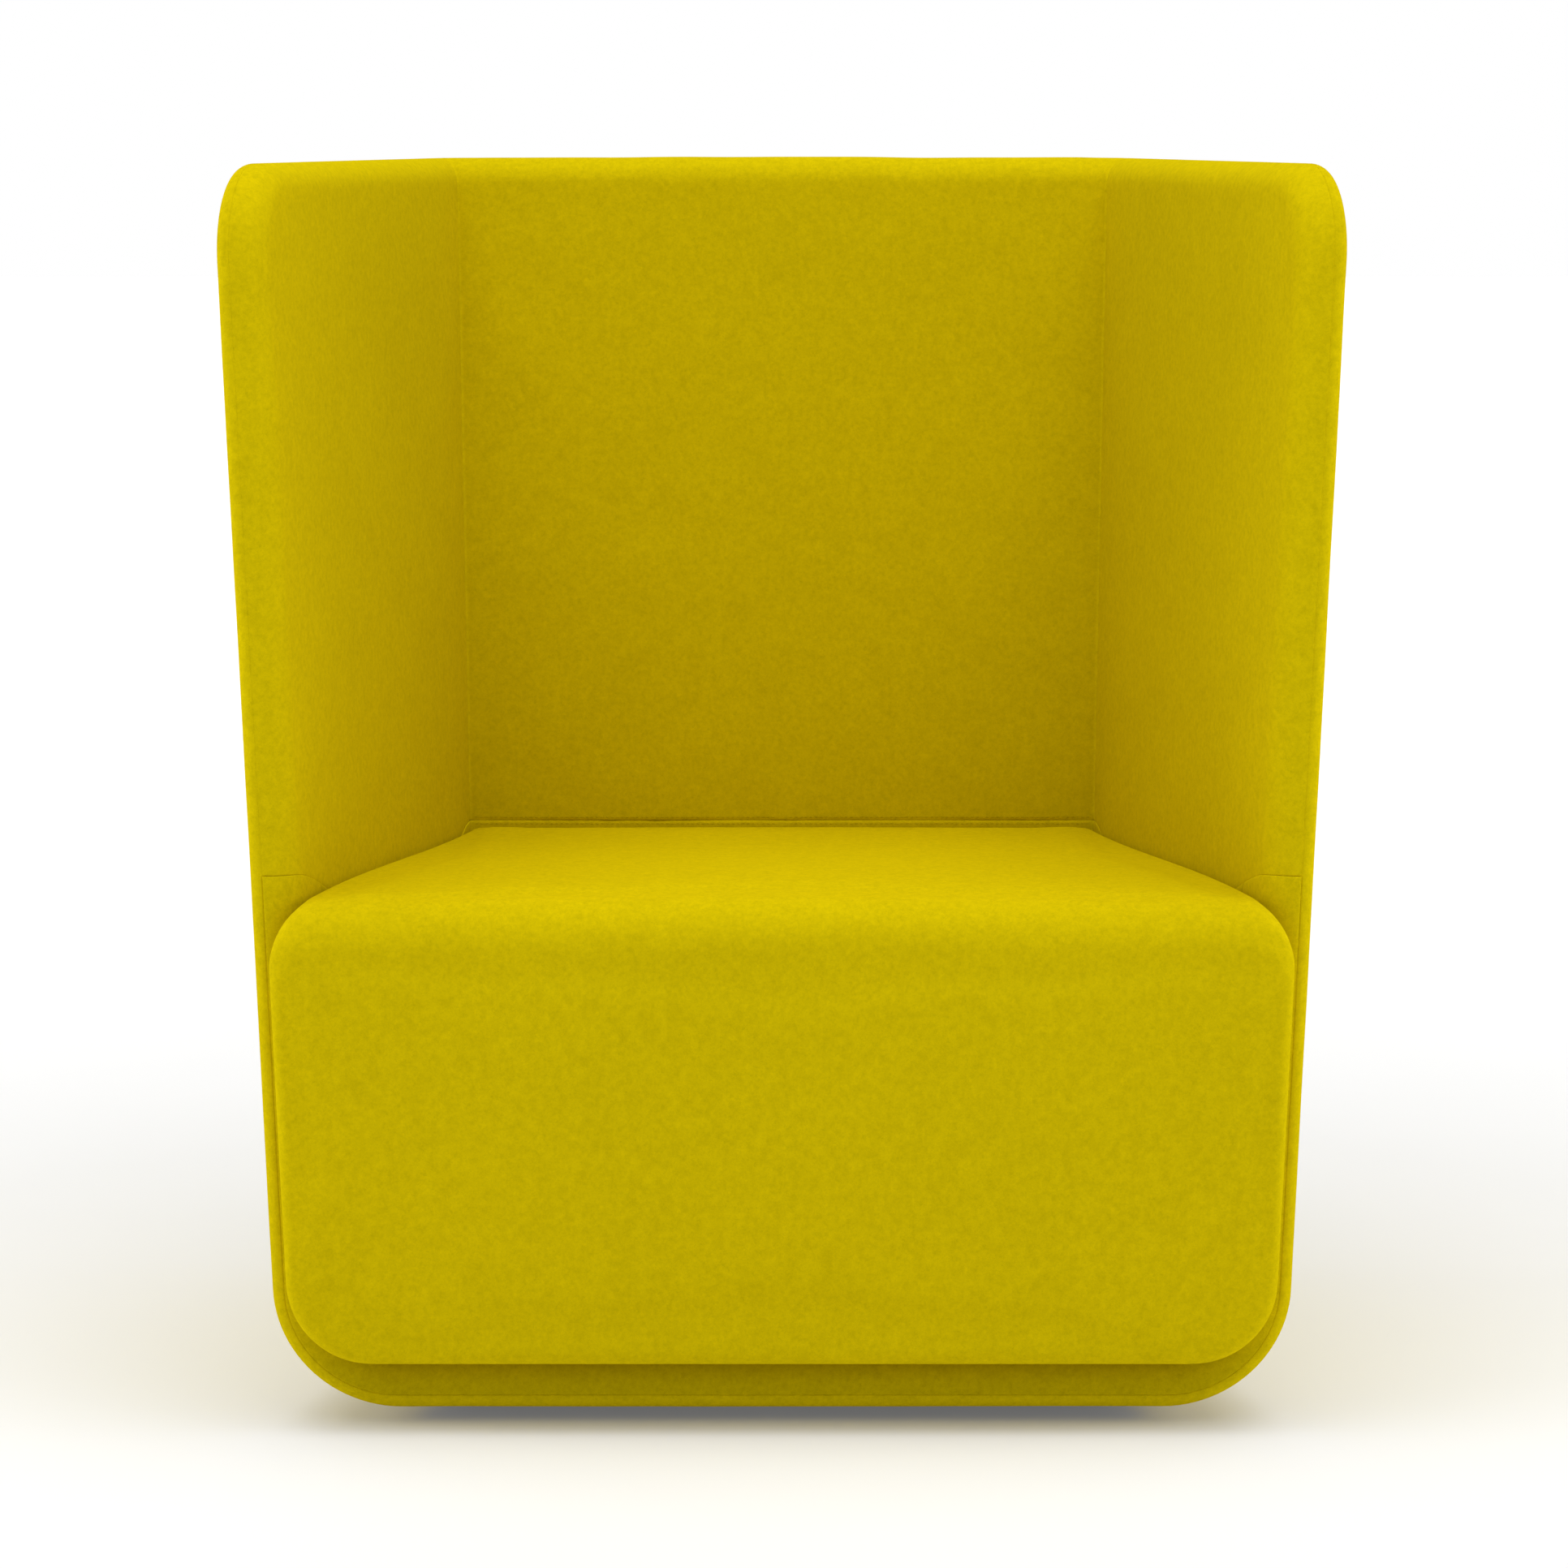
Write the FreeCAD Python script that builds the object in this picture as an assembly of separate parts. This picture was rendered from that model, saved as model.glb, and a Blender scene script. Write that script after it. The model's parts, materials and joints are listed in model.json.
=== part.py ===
import FreeCAD, Part
import math
import os

from FreeCAD import Vector

# A fixed lounge chair with tall splayed wings: an upholstered tub on four glides, with a seat block in it.
# The chair stands on z = 0, faces -Y and mirrors about x = 0. Lengths are in millimetres, angles in degrees.

# Overall form
overall_height = 1030.0
overall_depth = 710.0
seat_height = 417.0
back_top_thickness = 70.5
inside_back_width = 568.0
seat_overhang = 40.0
wing_splay = 11.5
wing_flare = 2.3
back_recline = 6.0
outer_back_lean = 3.5

# Tub walls and their roundings
wall_thickness = 40.0
base_height = 45.0
bottom_radius = 100.0
rear_radius = 60.0
wing_corner_radius = 80.0
rim_outer_radius = 14.0
rim_inner_radius = 24.0
cavity_radius = 60.0
crease_radius = 6.0

# Seat block
seat_crown = 3.0
seat_rear_rise = 6.0
seat_front_rise = 20.0
seat_slope_rear = 200.0
seat_slope_run = 460.0
seat_side_reveal = 20.0
seat_gap = 1.5
seat_lift = 1.0
seat_top_radius = 40.0
seat_inner_radius = 8.0
seat_inner_start = 40.0
seat_edge_radius = 14.0
seat_bottom_radius = 66.0
seat_flare_start = 17.0
seat_flare_end = 17.0
edge_sections = 4
top_sections = 3
flare_sections = 4
slope_sections = 6
least_section_gap = 1.0
seam_above_seat = 11.0

# Layers of the upholstery
cover_thickness = 2.0
layer_gap = 0.3
wing_pad_thickness = 16.0
back_pad_thickness = 32.0
side_pad_thickness = 8.0
skin_wadding = 4.0
rim_pad_thickness = 20.0
cover_tuck = 4.0
cover_hem = 33.0
dust_cover_thickness = 1.0
dust_cover_margin = 8.0

# Tub frame
board_thickness = 12.0
panel_thickness = 4.0
panel_wadding = 5.0
post_width = 45.0
top_rail_height = 45.0
rail_margin = 8.0
wing_board_setback = 24.0
wing_board_foot = 10.0
board_corner_radius = 60.0

# Seat box and springs
seat_board_thickness = 18.0
seat_deck_height = 285.0
rear_board_gap = 18.0
side_board_lift = 26.0
bolt_block_size = 45.0
bolt_block_height = 50.0
bolt_block_inset = 70.0
spring_count = 5
spring_spacing = 100.0
spring_turns = 18
spring_run = 28.0
spring_wire = 3.8
clip_length = 16.0
clip_wall = 1.5
clip_width = 18.0
felt_thickness = 6.0

# Glides and fasteners
glide_height = 12.0
glide_radius = 20.0
glide_bevel = 3.0
glide_inset = 28.0
front_glide_setback = 41.0
spigot_radius = 7.0
spigot_gap = 0.3
screw_radius = 2.25
screw_head_radius = 4.5
screw_length = 34.0
screw_end_margin = 80.0
screw_top_margin = 420.0
wing_screw_share = 0.7
screws_per_joint = 3
post_screw_shift = 40.0
box_screw_margin = 40.0
box_screws_per_corner = 2
bolt_radius = 4.0
bolt_head_radius = 6.5
bolt_head_sides = 6
bolt_head_height = 5.3
bolt_recess = 2.0
bolt_end = 3.0
washer_radius = 9.0
washer_thickness = 1.6
nut_flange_radius = 11.0
nut_flange_thickness = 1.5
nut_barrel_radius = 5.5
nut_barrel_height = 9.0
dowel_radius = 4.0
dowel_length = 40.0
dowels_per_wing = 3
dowel_end_margin = 40.0
staple_crown = 10.0
staple_wire = 1.2
staple_leg = 10.0
staples_per_rail = 7
staple_edge = 22.0
staple_end_margin = 40.0

# Places that follow from the sizes above
tolerance = 1e-4
reach = 4.0 * overall_height
seat_front = -overall_depth / 2.0
shell_front = seat_front + seat_overhang
back_run = (overall_height - seat_height) * math.tan(math.radians(back_recline))
back_foot = overall_depth / 2.0 - back_top_thickness - back_run
cavity_floor = glide_height + base_height
seat_bottom = cavity_floor + seat_lift
skin = cover_thickness + layer_gap
frame_inset = skin + skin_wadding
frame_bottom = glide_height + frame_inset
tuck_end = shell_front + rim_inner_radius + cover_tuck
front_rail_back = tuck_end + seat_board_thickness + bolt_block_size + rail_margin
wing_board_bottom = glide_height + bottom_radius + wing_board_foot
frame_top = overall_height - rim_pad_thickness
seam_height = seat_height + seam_above_seat
cut_margin = 2.0 * cover_thickness


class Plane:
    """A flat bound of a piece. Its normal points out of the chair."""

    def __init__(self, normal, point):
        self.normal = Vector(normal)
        self.normal.normalize()
        self.offset = self.normal.dot(Vector(point))

    def moved(self, distance):
        return Plane(self.normal, self.normal * (self.offset + distance))

    def holds(self, point):
        return abs(self.normal.dot(point) - self.offset) < tolerance


def level(z):
    return Plane((0, 0, 1), (0, 0, z))


def across(y):
    return Plane((0, 1, 0), (0, y, 0))


def slope(angle):
    return math.tan(math.radians(angle))


def wing_plane(side):
    """The inside face of a wing: it stands at the crease, splays towards the front and flares upwards."""
    normal = (side, slope(wing_splay), -slope(wing_flare))
    return Plane(normal, (side * inside_back_width / 2.0, back_foot, seat_height))


def outer_back_plane():
    """The outside face of the back, set so that the rounded top edge ends at the overall depth."""
    lean = math.radians(outer_back_lean)
    normal = Vector(0, math.cos(lean), -math.sin(lean))
    rim_centre = Vector(0, overall_depth / 2.0 - rim_outer_radius, overall_height - rim_outer_radius)
    return Plane(normal, rim_centre + normal * rim_outer_radius)


sides = {"left": -1, "right": 1}
wing_in = {side: wing_plane(side) for side in sides.values()}
wing_out = {side: wing_in[side].moved(wall_thickness) for side in sides.values()}
back_in = Plane((0, 1, -slope(back_recline)), (0, back_foot, seat_height))
back_out = outer_back_plane()
front_plane = Plane((0, -1, 0), (0, shell_front, 0))
bottom_plane = Plane((0, 0, -1), (0, 0, glide_height))
top_plane = level(overall_height)
floor_plane = Plane((0, 0, -1), (0, 0, cavity_floor))
wing_board_in = {side: wing_in[side].moved(skin + wing_pad_thickness) for side in sides.values()}
wing_board_out = {side: wing_board_in[side].moved(board_thickness) for side in sides.values()}
corner_start = {side: wing_out[side].moved(-bottom_radius) for side in sides.values()}
seat_side = {side: wing_in[side].moved(-seat_gap - skin - side_pad_thickness) for side in sides.values()}
back_board_front = back_in.moved(skin + back_pad_thickness)
back_board_rear = back_board_front.moved(board_thickness)
panel_front = back_out.moved(-skin - panel_wadding - panel_thickness)


def spread(low, high, count):
    return [low + (high - low) * index / (count - 1) for index in range(count)]


def meeting_point(first, second, third):
    rows = [(plane.normal.x, plane.normal.y, plane.normal.z, 0) for plane in (first, second, third)]
    matrix = FreeCAD.Matrix(*rows[0], *rows[1], *rows[2], 0, 0, 0, 1)
    return matrix.inverse().multVec(Vector(first.offset, second.offset, third.offset))


# The seat box ends clear of the reclined back's foot, and the rear base board reaches under its bolt blocks
back_at_floor = meeting_point(back_in, level(seat_bottom), Plane((1, 0, 0), (0, 0, 0))).y
seat_box_rear = back_at_floor - rear_board_gap
rear_block_front = seat_box_rear - seat_board_thickness - bolt_block_size
rear_board_front = rear_block_front - rail_margin


def block(left, right, front, back, bottom, top):
    """The solid between six planes."""
    corner = {}
    for i, x_plane in enumerate((left, right)):
        for j, y_plane in enumerate((front, back)):
            for k, z_plane in enumerate((bottom, top)):
                corner[i, j, k] = meeting_point(x_plane, y_plane, z_plane)
    centre = sum(corner.values(), Vector()) / len(corner)
    faces = []
    for axis in range(3):
        for end in (0, 1):
            ring = []
            for step in ((0, 0), (1, 0), (1, 1), (0, 1)):
                key = list(step)
                key.insert(axis, end)
                ring.append(corner[tuple(key)])
            outward = (ring[1] - ring[0]).cross(ring[2] - ring[0]).dot(ring[0] - centre)
            if outward < 0:
                ring.reverse()
            faces.append(Part.Face(Part.makePolygon(ring + ring[:1])))
    return Part.makeSolid(Part.makeShell(faces))


def half_space(plane):
    """A large box on the outer side of a plane."""
    box = Part.makeBox(reach, reach, reach, Vector(-reach / 2.0, -reach / 2.0, 0))
    turn = FreeCAD.Rotation(Vector(0, 0, 1), plane.normal)
    box.Placement = FreeCAD.Placement(plane.normal * plane.offset, turn)
    return box


def ahead_of(y):
    return half_space(Plane((0, -1, 0), (0, y, 0)))


def behind(y):
    return half_space(across(y))


def above(z):
    return half_space(level(z))


def below(z):
    return half_space(Plane((0, 0, -1), (0, 0, z)))


def along(edge):
    span = edge.LastParameter - edge.FirstParameter
    return [edge.valueAt(edge.FirstParameter + span * share) for share in (0.0, 0.5, 1.0)]


def edges_on(shape, *planes):
    return [edge for edge in shape.Edges if all(plane.holds(p) for plane in planes for p in along(edge))]


def whole(shape):
    """A result of one solid as that solid, and of more solids as a compound."""
    solids = shape.Solids
    return solids[0] if len(solids) == 1 else Part.makeCompound(solids)


def largest(shape):
    return max(shape.Solids, key=lambda solid: solid.Volume)


# The padded tub

def outer_body(inset):
    """The tub's outside, filled, with every face moved inwards by the inset."""
    left, right = wing_out[-1].moved(-inset), wing_out[1].moved(-inset)
    front, back = front_plane.moved(-inset), back_out.moved(-inset)
    bottom, top = bottom_plane.moved(-inset), top_plane.moved(-inset)
    body = block(left, right, front, back, bottom, top)
    low_edges = edges_on(body, bottom, left) + edges_on(body, bottom, right)
    body = body.makeFillet(bottom_radius - inset, low_edges)
    rear_edges = [edge for edge in edges_on(body, back) if not edges_on(edge, top)]
    body = body.makeFillet(rear_radius - inset, rear_edges)
    return body.makeFillet(wing_corner_radius - inset, edges_on(body, front, top))


def cavity(growth):
    """The space inside the tub, open to the front and the top, grown into the walls."""
    left, right = wing_in[-1].moved(growth), wing_in[1].moved(growth)
    back, floor = back_in.moved(growth), floor_plane.moved(growth)
    front, top = front_plane.moved(wall_thickness), top_plane.moved(wall_thickness)
    space = block(left, right, front, back, floor, top)
    low_edges = edges_on(space, floor, left) + edges_on(space, floor, right)
    space = space.makeFillet(cavity_radius + growth, low_edges)
    rear_edges = [edge for edge in edges_on(space, back) if not edges_on(edge, top)]
    return space.makeFillet(crease_radius + growth, rear_edges)


def on_rim(point, inset):
    """Whether a point lies on the front edge, the rounded corner or the top edge of the walls."""
    centre_y = shell_front + wing_corner_radius
    centre_z = overall_height - wing_corner_radius
    if point.z <= centre_z:
        return abs(point.y - shell_front - inset) < tolerance
    if point.y >= centre_y:
        return abs(point.z - overall_height + inset) < tolerance
    corner_reach = math.hypot(point.y - centre_y, point.z - centre_z)
    return abs(corner_reach - wing_corner_radius + inset) < tolerance


def rim_edges(shell, hole, inset):
    """The rim's edges, as two lists: round the outside, and round the opening."""
    corner_lines = (level(overall_height - wing_corner_radius), across(shell_front + wing_corner_radius))
    outside, opening = [], []
    for edge in shell.Edges:
        points = along(edge)
        if not all(on_rim(point, inset) for point in points):
            continue
        if any(edges_on(edge, line) for line in corner_lines):
            continue
        in_hole = all(hole.isInside(point, tolerance, True) for point in points)
        (opening if in_hole else outside).append(edge)
    return outside, opening


def padded_tub(inset):
    """The walls and floor of the tub with their rounded rim, every face moved inwards by the inset."""
    hole = cavity(inset)
    tub = largest(outer_body(inset).cut(hole))
    outside, opening = rim_edges(tub, hole, inset)
    tub = tub.makeFillet(rim_outer_radius - inset, outside)
    outside, opening = rim_edges(tub, hole, inset)
    return largest(tub.makeFillet(rim_inner_radius - inset, opening))


# The padded seat block

def rounded_outline(corners, radii, crown, y):
    """A closed outline in the plane y, through rounded corners; its third side, the top, is crowned."""
    count = len(corners)
    top_side = 2
    ends = []
    for index in range(count):
        here = Vector(corners[index][0], y, corners[index][1])
        before = Vector(corners[index - 1][0], y, corners[index - 1][1])
        after = Vector(corners[(index + 1) % count][0], y, corners[(index + 1) % count][1])
        back_way = (before - here).normalize()
        on_way = (after - here).normalize()
        half_angle = back_way.getAngle(on_way) / 2.0
        trim = radii[index] / math.tan(half_angle)
        bisector = (back_way + on_way).normalize()
        middle = here + bisector * (radii[index] / math.sin(half_angle) - radii[index])
        ends.append((here + back_way * trim, middle, here + on_way * trim))
    edges = []
    for index in range(count):
        start, middle, end = ends[index]
        edges.append(Part.Arc(start, middle, end).toShape())
        next_start = ends[(index + 1) % count][0]
        if index == top_side:
            rise = Vector(0, 0, crown)
            edges.append(Part.Arc(end, (end + next_start) / 2.0 + rise, next_start).toShape())
        else:
            edges.append(Part.LineSegment(end, next_start).toShape())
    return Part.Wire(edges)


def rounding(radius, distance):
    """How far a rounded edge draws in at a distance behind the front face."""
    short = max(radius - distance, 0.0)
    return radius - math.sqrt(radius * radius - short * short)


def eased(y, start, run):
    """From 0 at the start to 1 at a run nearer the front, with smooth ends."""
    share = min(max((start - y) / run, 0.0), 1.0)
    return share * share * (3.0 - 2.0 * share)


def seat_flare(y):
    """How far the seat's sides stand outside the wings: clear of them within, wider in front of the rim."""
    front_reveal = wall_thickness - seat_side_reveal
    wing_stretch = math.sqrt(1.0 + slope(wing_splay) ** 2 + slope(wing_flare) ** 2)
    widening = front_reveal * wing_stretch - seat_flare_end * slope(wing_splay) + seat_gap
    return -seat_gap + widening * eased(y, shell_front + seat_flare_start, seat_flare_start + seat_flare_end)


def seat_top(y):
    """The seat's height beside the wings: it slopes up from the back towards the front."""
    rise = seat_front_rise - seat_rear_rise
    return seat_height + seat_rear_rise + rise * eased(y, seat_slope_rear, seat_slope_run)


def seat_corner_radius(y):
    """The rounding of the seat's long top edges: close to the wings within, large in front of the rim."""
    growth = seat_top_radius - seat_inner_radius
    return seat_inner_radius + growth * eased(y, shell_front + seat_inner_start, seat_inner_start + seat_flare_end)


def seat_outline(y, inset):
    """The seat block's cross-section at a distance from the front."""
    behind = y - seat_front - inset
    top_radius = seat_corner_radius(y) - inset
    edge_radius = seat_edge_radius - inset
    drawn_in = rounding(edge_radius, behind)
    low = seat_bottom + inset + drawn_in
    high = seat_top(y) - inset - rounding(seat_top_radius - inset, behind)

    def half_width(z):
        wing = wing_in[1]
        inside = (wing.offset - wing.normal.y * y - wing.normal.z * z) / wing.normal.x
        return inside + seat_flare(y) - inset - drawn_in

    wide, narrow = half_width(high), half_width(low)
    corners = [(-narrow, low), (narrow, low), (wide, high), (-wide, high)]
    low_radius = seat_bottom_radius - inset
    return rounded_outline(corners, [low_radius, low_radius, top_radius, top_radius], seat_crown, y)


def seat_stations(inset):
    """Where the seat's sections are drawn, from front to rear, closer where the edges round over."""
    front = seat_front + inset
    edge_radius = seat_edge_radius - inset
    top_radius = seat_top_radius - inset
    quarter = math.pi / 2.0
    turns = [quarter * step / edge_sections for step in range(edge_sections + 1)]
    edge_steps = [front + edge_radius * (1.0 - math.cos(turn)) for turn in turns]
    top_steps = spread(front + edge_radius, front + top_radius, top_sections + 1)[1:]
    flare_steps = spread(shell_front - seat_flare_end, shell_front + seat_flare_start, flare_sections + 1)
    flare_steps = [y for y in flare_steps if y > top_steps[-1] + least_section_gap]
    slope_steps = spread(shell_front + seat_inner_start, seat_slope_rear, slope_sections + 1)
    return edge_steps + top_steps + flare_steps + slope_steps + [overall_depth / 2.0]


def seat_form(inset):
    """The padded seat block, running on through the back, every face moved inwards by the inset."""
    outlines = [seat_outline(y, inset) for y in seat_stations(inset)]
    return Part.makeLoft(outlines, True, True)


# The tub's frame

def front_base_rail():
    return block(corner_start[-1], corner_start[1], across(tuck_end), across(front_rail_back),
                 level(frame_bottom), level(cavity_floor))


def rear_base_board():
    board = block(wing_board_in[-1], wing_board_in[1], across(rear_board_front), panel_front,
                  level(frame_bottom), level(cavity_floor))
    return whole(board.common(outer_body(frame_inset)))


def bent_corner(side):
    """The curved plywood corner that joins a wing to the base, on which the wing board stands."""
    zone = block(corner_start[side], wing_out[side], across(tuck_end), across(rear_board_front),
                 bottom_plane, level(wing_board_bottom))
    return whole(outer_body(frame_inset).cut(cavity(0.0)).common(zone))


def wing_board(side):
    front = front_plane.moved(-rim_pad_thickness)
    back = back_out.moved(-wing_board_setback)
    top = level(frame_top)
    board = block(wing_board_in[side], wing_board_out[side], front, back, level(wing_board_bottom), top)
    return board.makeFillet(board_corner_radius, edges_on(board, front, top))


def inner_back_board():
    return block(wing_board_in[-1], wing_board_in[1], back_board_front, back_board_rear,
                 level(cavity_floor), level(frame_top))


def rear_post(side):
    """A tapered post between the inner back board and the outer back panel, beside the wing board."""
    inner = wing_board_in[side].moved(-post_width)
    post = block(wing_board_in[side], inner, back_board_rear, panel_front,
                 level(cavity_floor), level(frame_top))
    return whole(post.common(outer_body(frame_inset)))


def back_hollow(bottom, top):
    """The space between the two posts, the inner back board and the outer back panel."""
    left, right = wing_board_in[-1].moved(-post_width), wing_board_in[1].moved(-post_width)
    return block(left, right, back_board_rear, panel_front, level(bottom), level(top))


def outer_back_panel():
    panel = block(wing_board_in[-1], wing_board_in[1], panel_front, panel_front.moved(panel_thickness),
                  level(glide_height + rear_radius), level(frame_top))
    return whole(panel.common(outer_body(frame_inset)))


# The seat box

def seat_end_board(front):
    """The front or rear board of the seat box, with its lower corners rounded clear of the tub's corners."""
    left, right, bottom = seat_side[-1], seat_side[1], level(cavity_floor)
    board = block(left, right, across(front), across(front + seat_board_thickness),
                  bottom, level(seat_deck_height))
    return board.makeFillet(cavity_radius, edges_on(board, left, bottom) + edges_on(board, right, bottom))


def seat_side_board(side):
    outer = seat_side[side]
    front = tuck_end + seat_board_thickness
    back = seat_box_rear - seat_board_thickness
    return block(outer, outer.moved(-seat_board_thickness), across(front), across(back),
                 level(cavity_floor + side_board_lift), level(seat_deck_height))


def bolt_block_fronts():
    return tuck_end + seat_board_thickness, rear_block_front


def bolt_blocks():
    """Blocks behind the front board and before the rear board, which take the bolts from the base."""
    blocks = []
    for front in bolt_block_fronts():
        for side in (-1, 1):
            outer = wing_in[side].moved(-bolt_block_inset)
            blocks.append(block(outer, outer.moved(-bolt_block_size), across(front),
                                across(front + bolt_block_size), level(cavity_floor),
                                level(cavity_floor + bolt_block_height)))
    return blocks


def spring_ends():
    half_board = seat_board_thickness / 2.0
    return tuck_end + half_board, seat_box_rear - half_board


def spring_wire_height():
    return seat_deck_height + clip_wall + spring_wire / 2.0


def spring(x):
    """A flat zig-zag spring from the front board to the rear board: straight runs joined by quarter arcs."""
    start, end = spring_ends()
    z = spring_wire_height()
    pitch = (end - start) / spring_turns
    radius = pitch / 2.0
    half_run = spring_run / 2.0
    lean = radius * math.sqrt(0.5)
    edges = []
    for index in range(spring_turns + 1):
        way = 1.0 if index % 2 == 0 else -1.0
        y = start + index * pitch
        run_end = Vector(x + way * half_run, y, z)
        edges.append(Part.LineSegment(Vector(x - way * half_run, y, z), run_end).toShape())
        if index < spring_turns:
            centre = run_end + Vector(0, radius, 0)
            outermost = centre + Vector(way * radius, 0, 0)
            first = centre + Vector(way * lean, -lean, 0)
            second = centre + Vector(way * lean, lean, 0)
            turn_end = centre + Vector(0, radius, 0)
            edges.append(Part.Arc(run_end, first, outermost).toShape())
            edges.append(Part.Arc(outermost, second, turn_end).toShape())
    path = Part.Wire(edges)
    ring = Part.Wire(Part.makeCircle(spring_wire / 2.0, Vector(x - half_run, start, z), Vector(1, 0, 0)))
    return path.makePipeShell([ring], True, False)


def spring_places():
    middle = (spring_count - 1) / 2.0
    return [(index - middle) * spring_spacing for index in range(spring_count)]


def spring_clip(x, y):
    """A clip on a board's top edge, with a bore along X that grips the spring's last run."""
    height = spring_wire + 2.0 * clip_wall
    corner = Vector(x - clip_length / 2.0, y - clip_width / 2.0, seat_deck_height)
    body = Part.makeBox(clip_length, clip_width, height, corner)
    bore_start = Vector(x - clip_length, y, spring_wire_height())
    return body.cut(Part.makeCylinder(spring_wire / 2.0, 2.0 * clip_length, bore_start, Vector(1, 0, 0)))


def felt_bottom():
    return seat_deck_height + spring_wire + 2.0 * clip_wall


def spring_felt():
    return block(seat_side[-1], seat_side[1], across(tuck_end), across(seat_box_rear), level(felt_bottom()),
                 level(felt_bottom() + felt_thickness))


# Fasteners

def wood_screw(head, direction):
    """A countersunk screw whose flat head lies at the given point and which points along the direction."""
    axis = Vector(direction).normalize()
    cone_height = screw_head_radius - screw_radius
    cone = Part.makeCone(screw_head_radius, screw_radius, cone_height, head, axis)
    shank = Part.makeCylinder(screw_radius, screw_length - cone_height, head + axis * cone_height, axis)
    return cone.fuse(shank).removeSplitter()


def frame_screws():
    """Screws through the wing boards and the inner back board into the rear posts."""
    screws = []
    heights = spread(wing_board_bottom + screw_end_margin, frame_top - screw_top_margin, screws_per_joint)
    for side in (-1, 1):
        wing_face = wing_board_out[side]
        post_middle = wing_board_in[side].moved(-post_width / 2.0)
        for height in heights:
            post_front = meeting_point(wing_face, back_board_rear, level(height))
            post_back = meeting_point(wing_face, back_out.moved(-wing_board_setback), level(height))
            head = post_front + (post_back - post_front) * wing_screw_share
            screws.append(wood_screw(head, -wing_face.normal))
            head = meeting_point(post_middle, back_board_front, level(height + post_screw_shift))
            screws.append(wood_screw(head, back_in.normal))
    return screws


def seat_box_screws():
    """Screws through the front and rear boards into the ends of the side boards."""
    screws = []
    low, high = cavity_floor + cavity_radius, seat_deck_height - box_screw_margin
    for side in (-1, 1):
        middle = seat_side[side].moved(-seat_board_thickness / 2.0)
        for height in spread(low, high, box_screws_per_corner):
            front = meeting_point(middle, across(tuck_end), level(height))
            rear = meeting_point(middle, across(seat_box_rear), level(height))
            screws.append(wood_screw(front, Vector(0, 1, 0)))
            screws.append(wood_screw(rear, Vector(0, -1, 0)))
    return screws


def dowels():
    """Upright dowels between each wing board and the bent corner under it."""
    pins = []
    for side in (-1, 1):
        middle = wing_board_in[side].moved(board_thickness / 2.0)
        first, last = tuck_end + dowel_end_margin, rear_board_front - dowel_end_margin
        for y in spread(first, last, dowels_per_wing):
            foot = meeting_point(middle, across(y), level(wing_board_bottom - dowel_length / 2.0))
            pins.append(Part.makeCylinder(dowel_radius, dowel_length, foot))
    return pins


def bolt_places():
    places = []
    for front in bolt_block_fronts():
        for side in (-1, 1):
            middle = wing_in[side].moved(-bolt_block_inset - bolt_block_size / 2.0)
            places.append(meeting_point(middle, across(front + bolt_block_size / 2.0), level(cavity_floor)))
    return places


def bolt_head_bottom():
    return frame_bottom + bolt_recess


def bolt_seat():
    return bolt_head_bottom() + bolt_head_height


def bolt_block_top():
    return cavity_floor + bolt_block_height


def upright(radius, low, high, place):
    return Part.makeCylinder(radius, high - low, Vector(place.x, place.y, low))


def seat_bolt(place):
    ring = []
    for corner in range(bolt_head_sides + 1):
        angle = 2.0 * math.pi * corner / bolt_head_sides
        offset = Vector(math.cos(angle), math.sin(angle), 0) * bolt_head_radius
        ring.append(Vector(place.x, place.y, bolt_head_bottom()) + offset)
    head = Part.Face(Part.makePolygon(ring)).extrude(Vector(0, 0, bolt_head_height))
    shank = upright(bolt_radius, bolt_seat(), bolt_block_top() + bolt_end, place)
    return head.fuse(shank).removeSplitter()


def bolt_washer(place):
    disc = upright(washer_radius, bolt_seat(), bolt_seat() + washer_thickness, place)
    return disc.cut(upright(bolt_radius, bolt_seat(), bolt_seat() + washer_thickness, place))


def tee_nut(place):
    top = bolt_block_top()
    flange = upright(nut_flange_radius, top, top + nut_flange_thickness, place)
    barrel = upright(nut_barrel_radius, top - nut_barrel_height, top, place)
    bore = upright(bolt_radius, top - nut_barrel_height, top + nut_flange_thickness, place)
    return flange.fuse(barrel).cut(bore).removeSplitter()


def bolt_bore(place):
    """What is drilled for a bolt: a counterbore for its head, a bore, and a seat for the nut's barrel."""
    recess = upright(washer_radius, frame_bottom, bolt_seat() + washer_thickness, place)
    bore = upright(bolt_radius, frame_bottom, bolt_block_top(), place)
    barrel = upright(nut_barrel_radius, bolt_block_top() - nut_barrel_height, bolt_block_top(), place)
    return recess.fuse([bore, barrel])


# Glides

def flat_bottom_planes(margin):
    """The sides, front and back of the base's flat underside, drawn in by a margin."""
    left, right = corner_start[-1].moved(-margin), corner_start[1].moved(-margin)
    front = front_plane.moved(-rim_outer_radius - margin)
    back = back_out.moved(-rear_radius - margin)
    return left, right, front, back


def glide_places():
    """The front feet stand well behind the front edge, out of sight from in front of the chair."""
    left, right, front, back = flat_bottom_planes(glide_inset)
    front = front.moved(-front_glide_setback)
    return [meeting_point(side, end, level(0.0)) for side in (left, right) for end in (front, back)]


def glide_top():
    return glide_height - dust_cover_thickness


def glide_screw(place):
    return wood_screw(Vector(place.x, place.y, glide_bevel), Vector(0, 0, 1))


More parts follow.
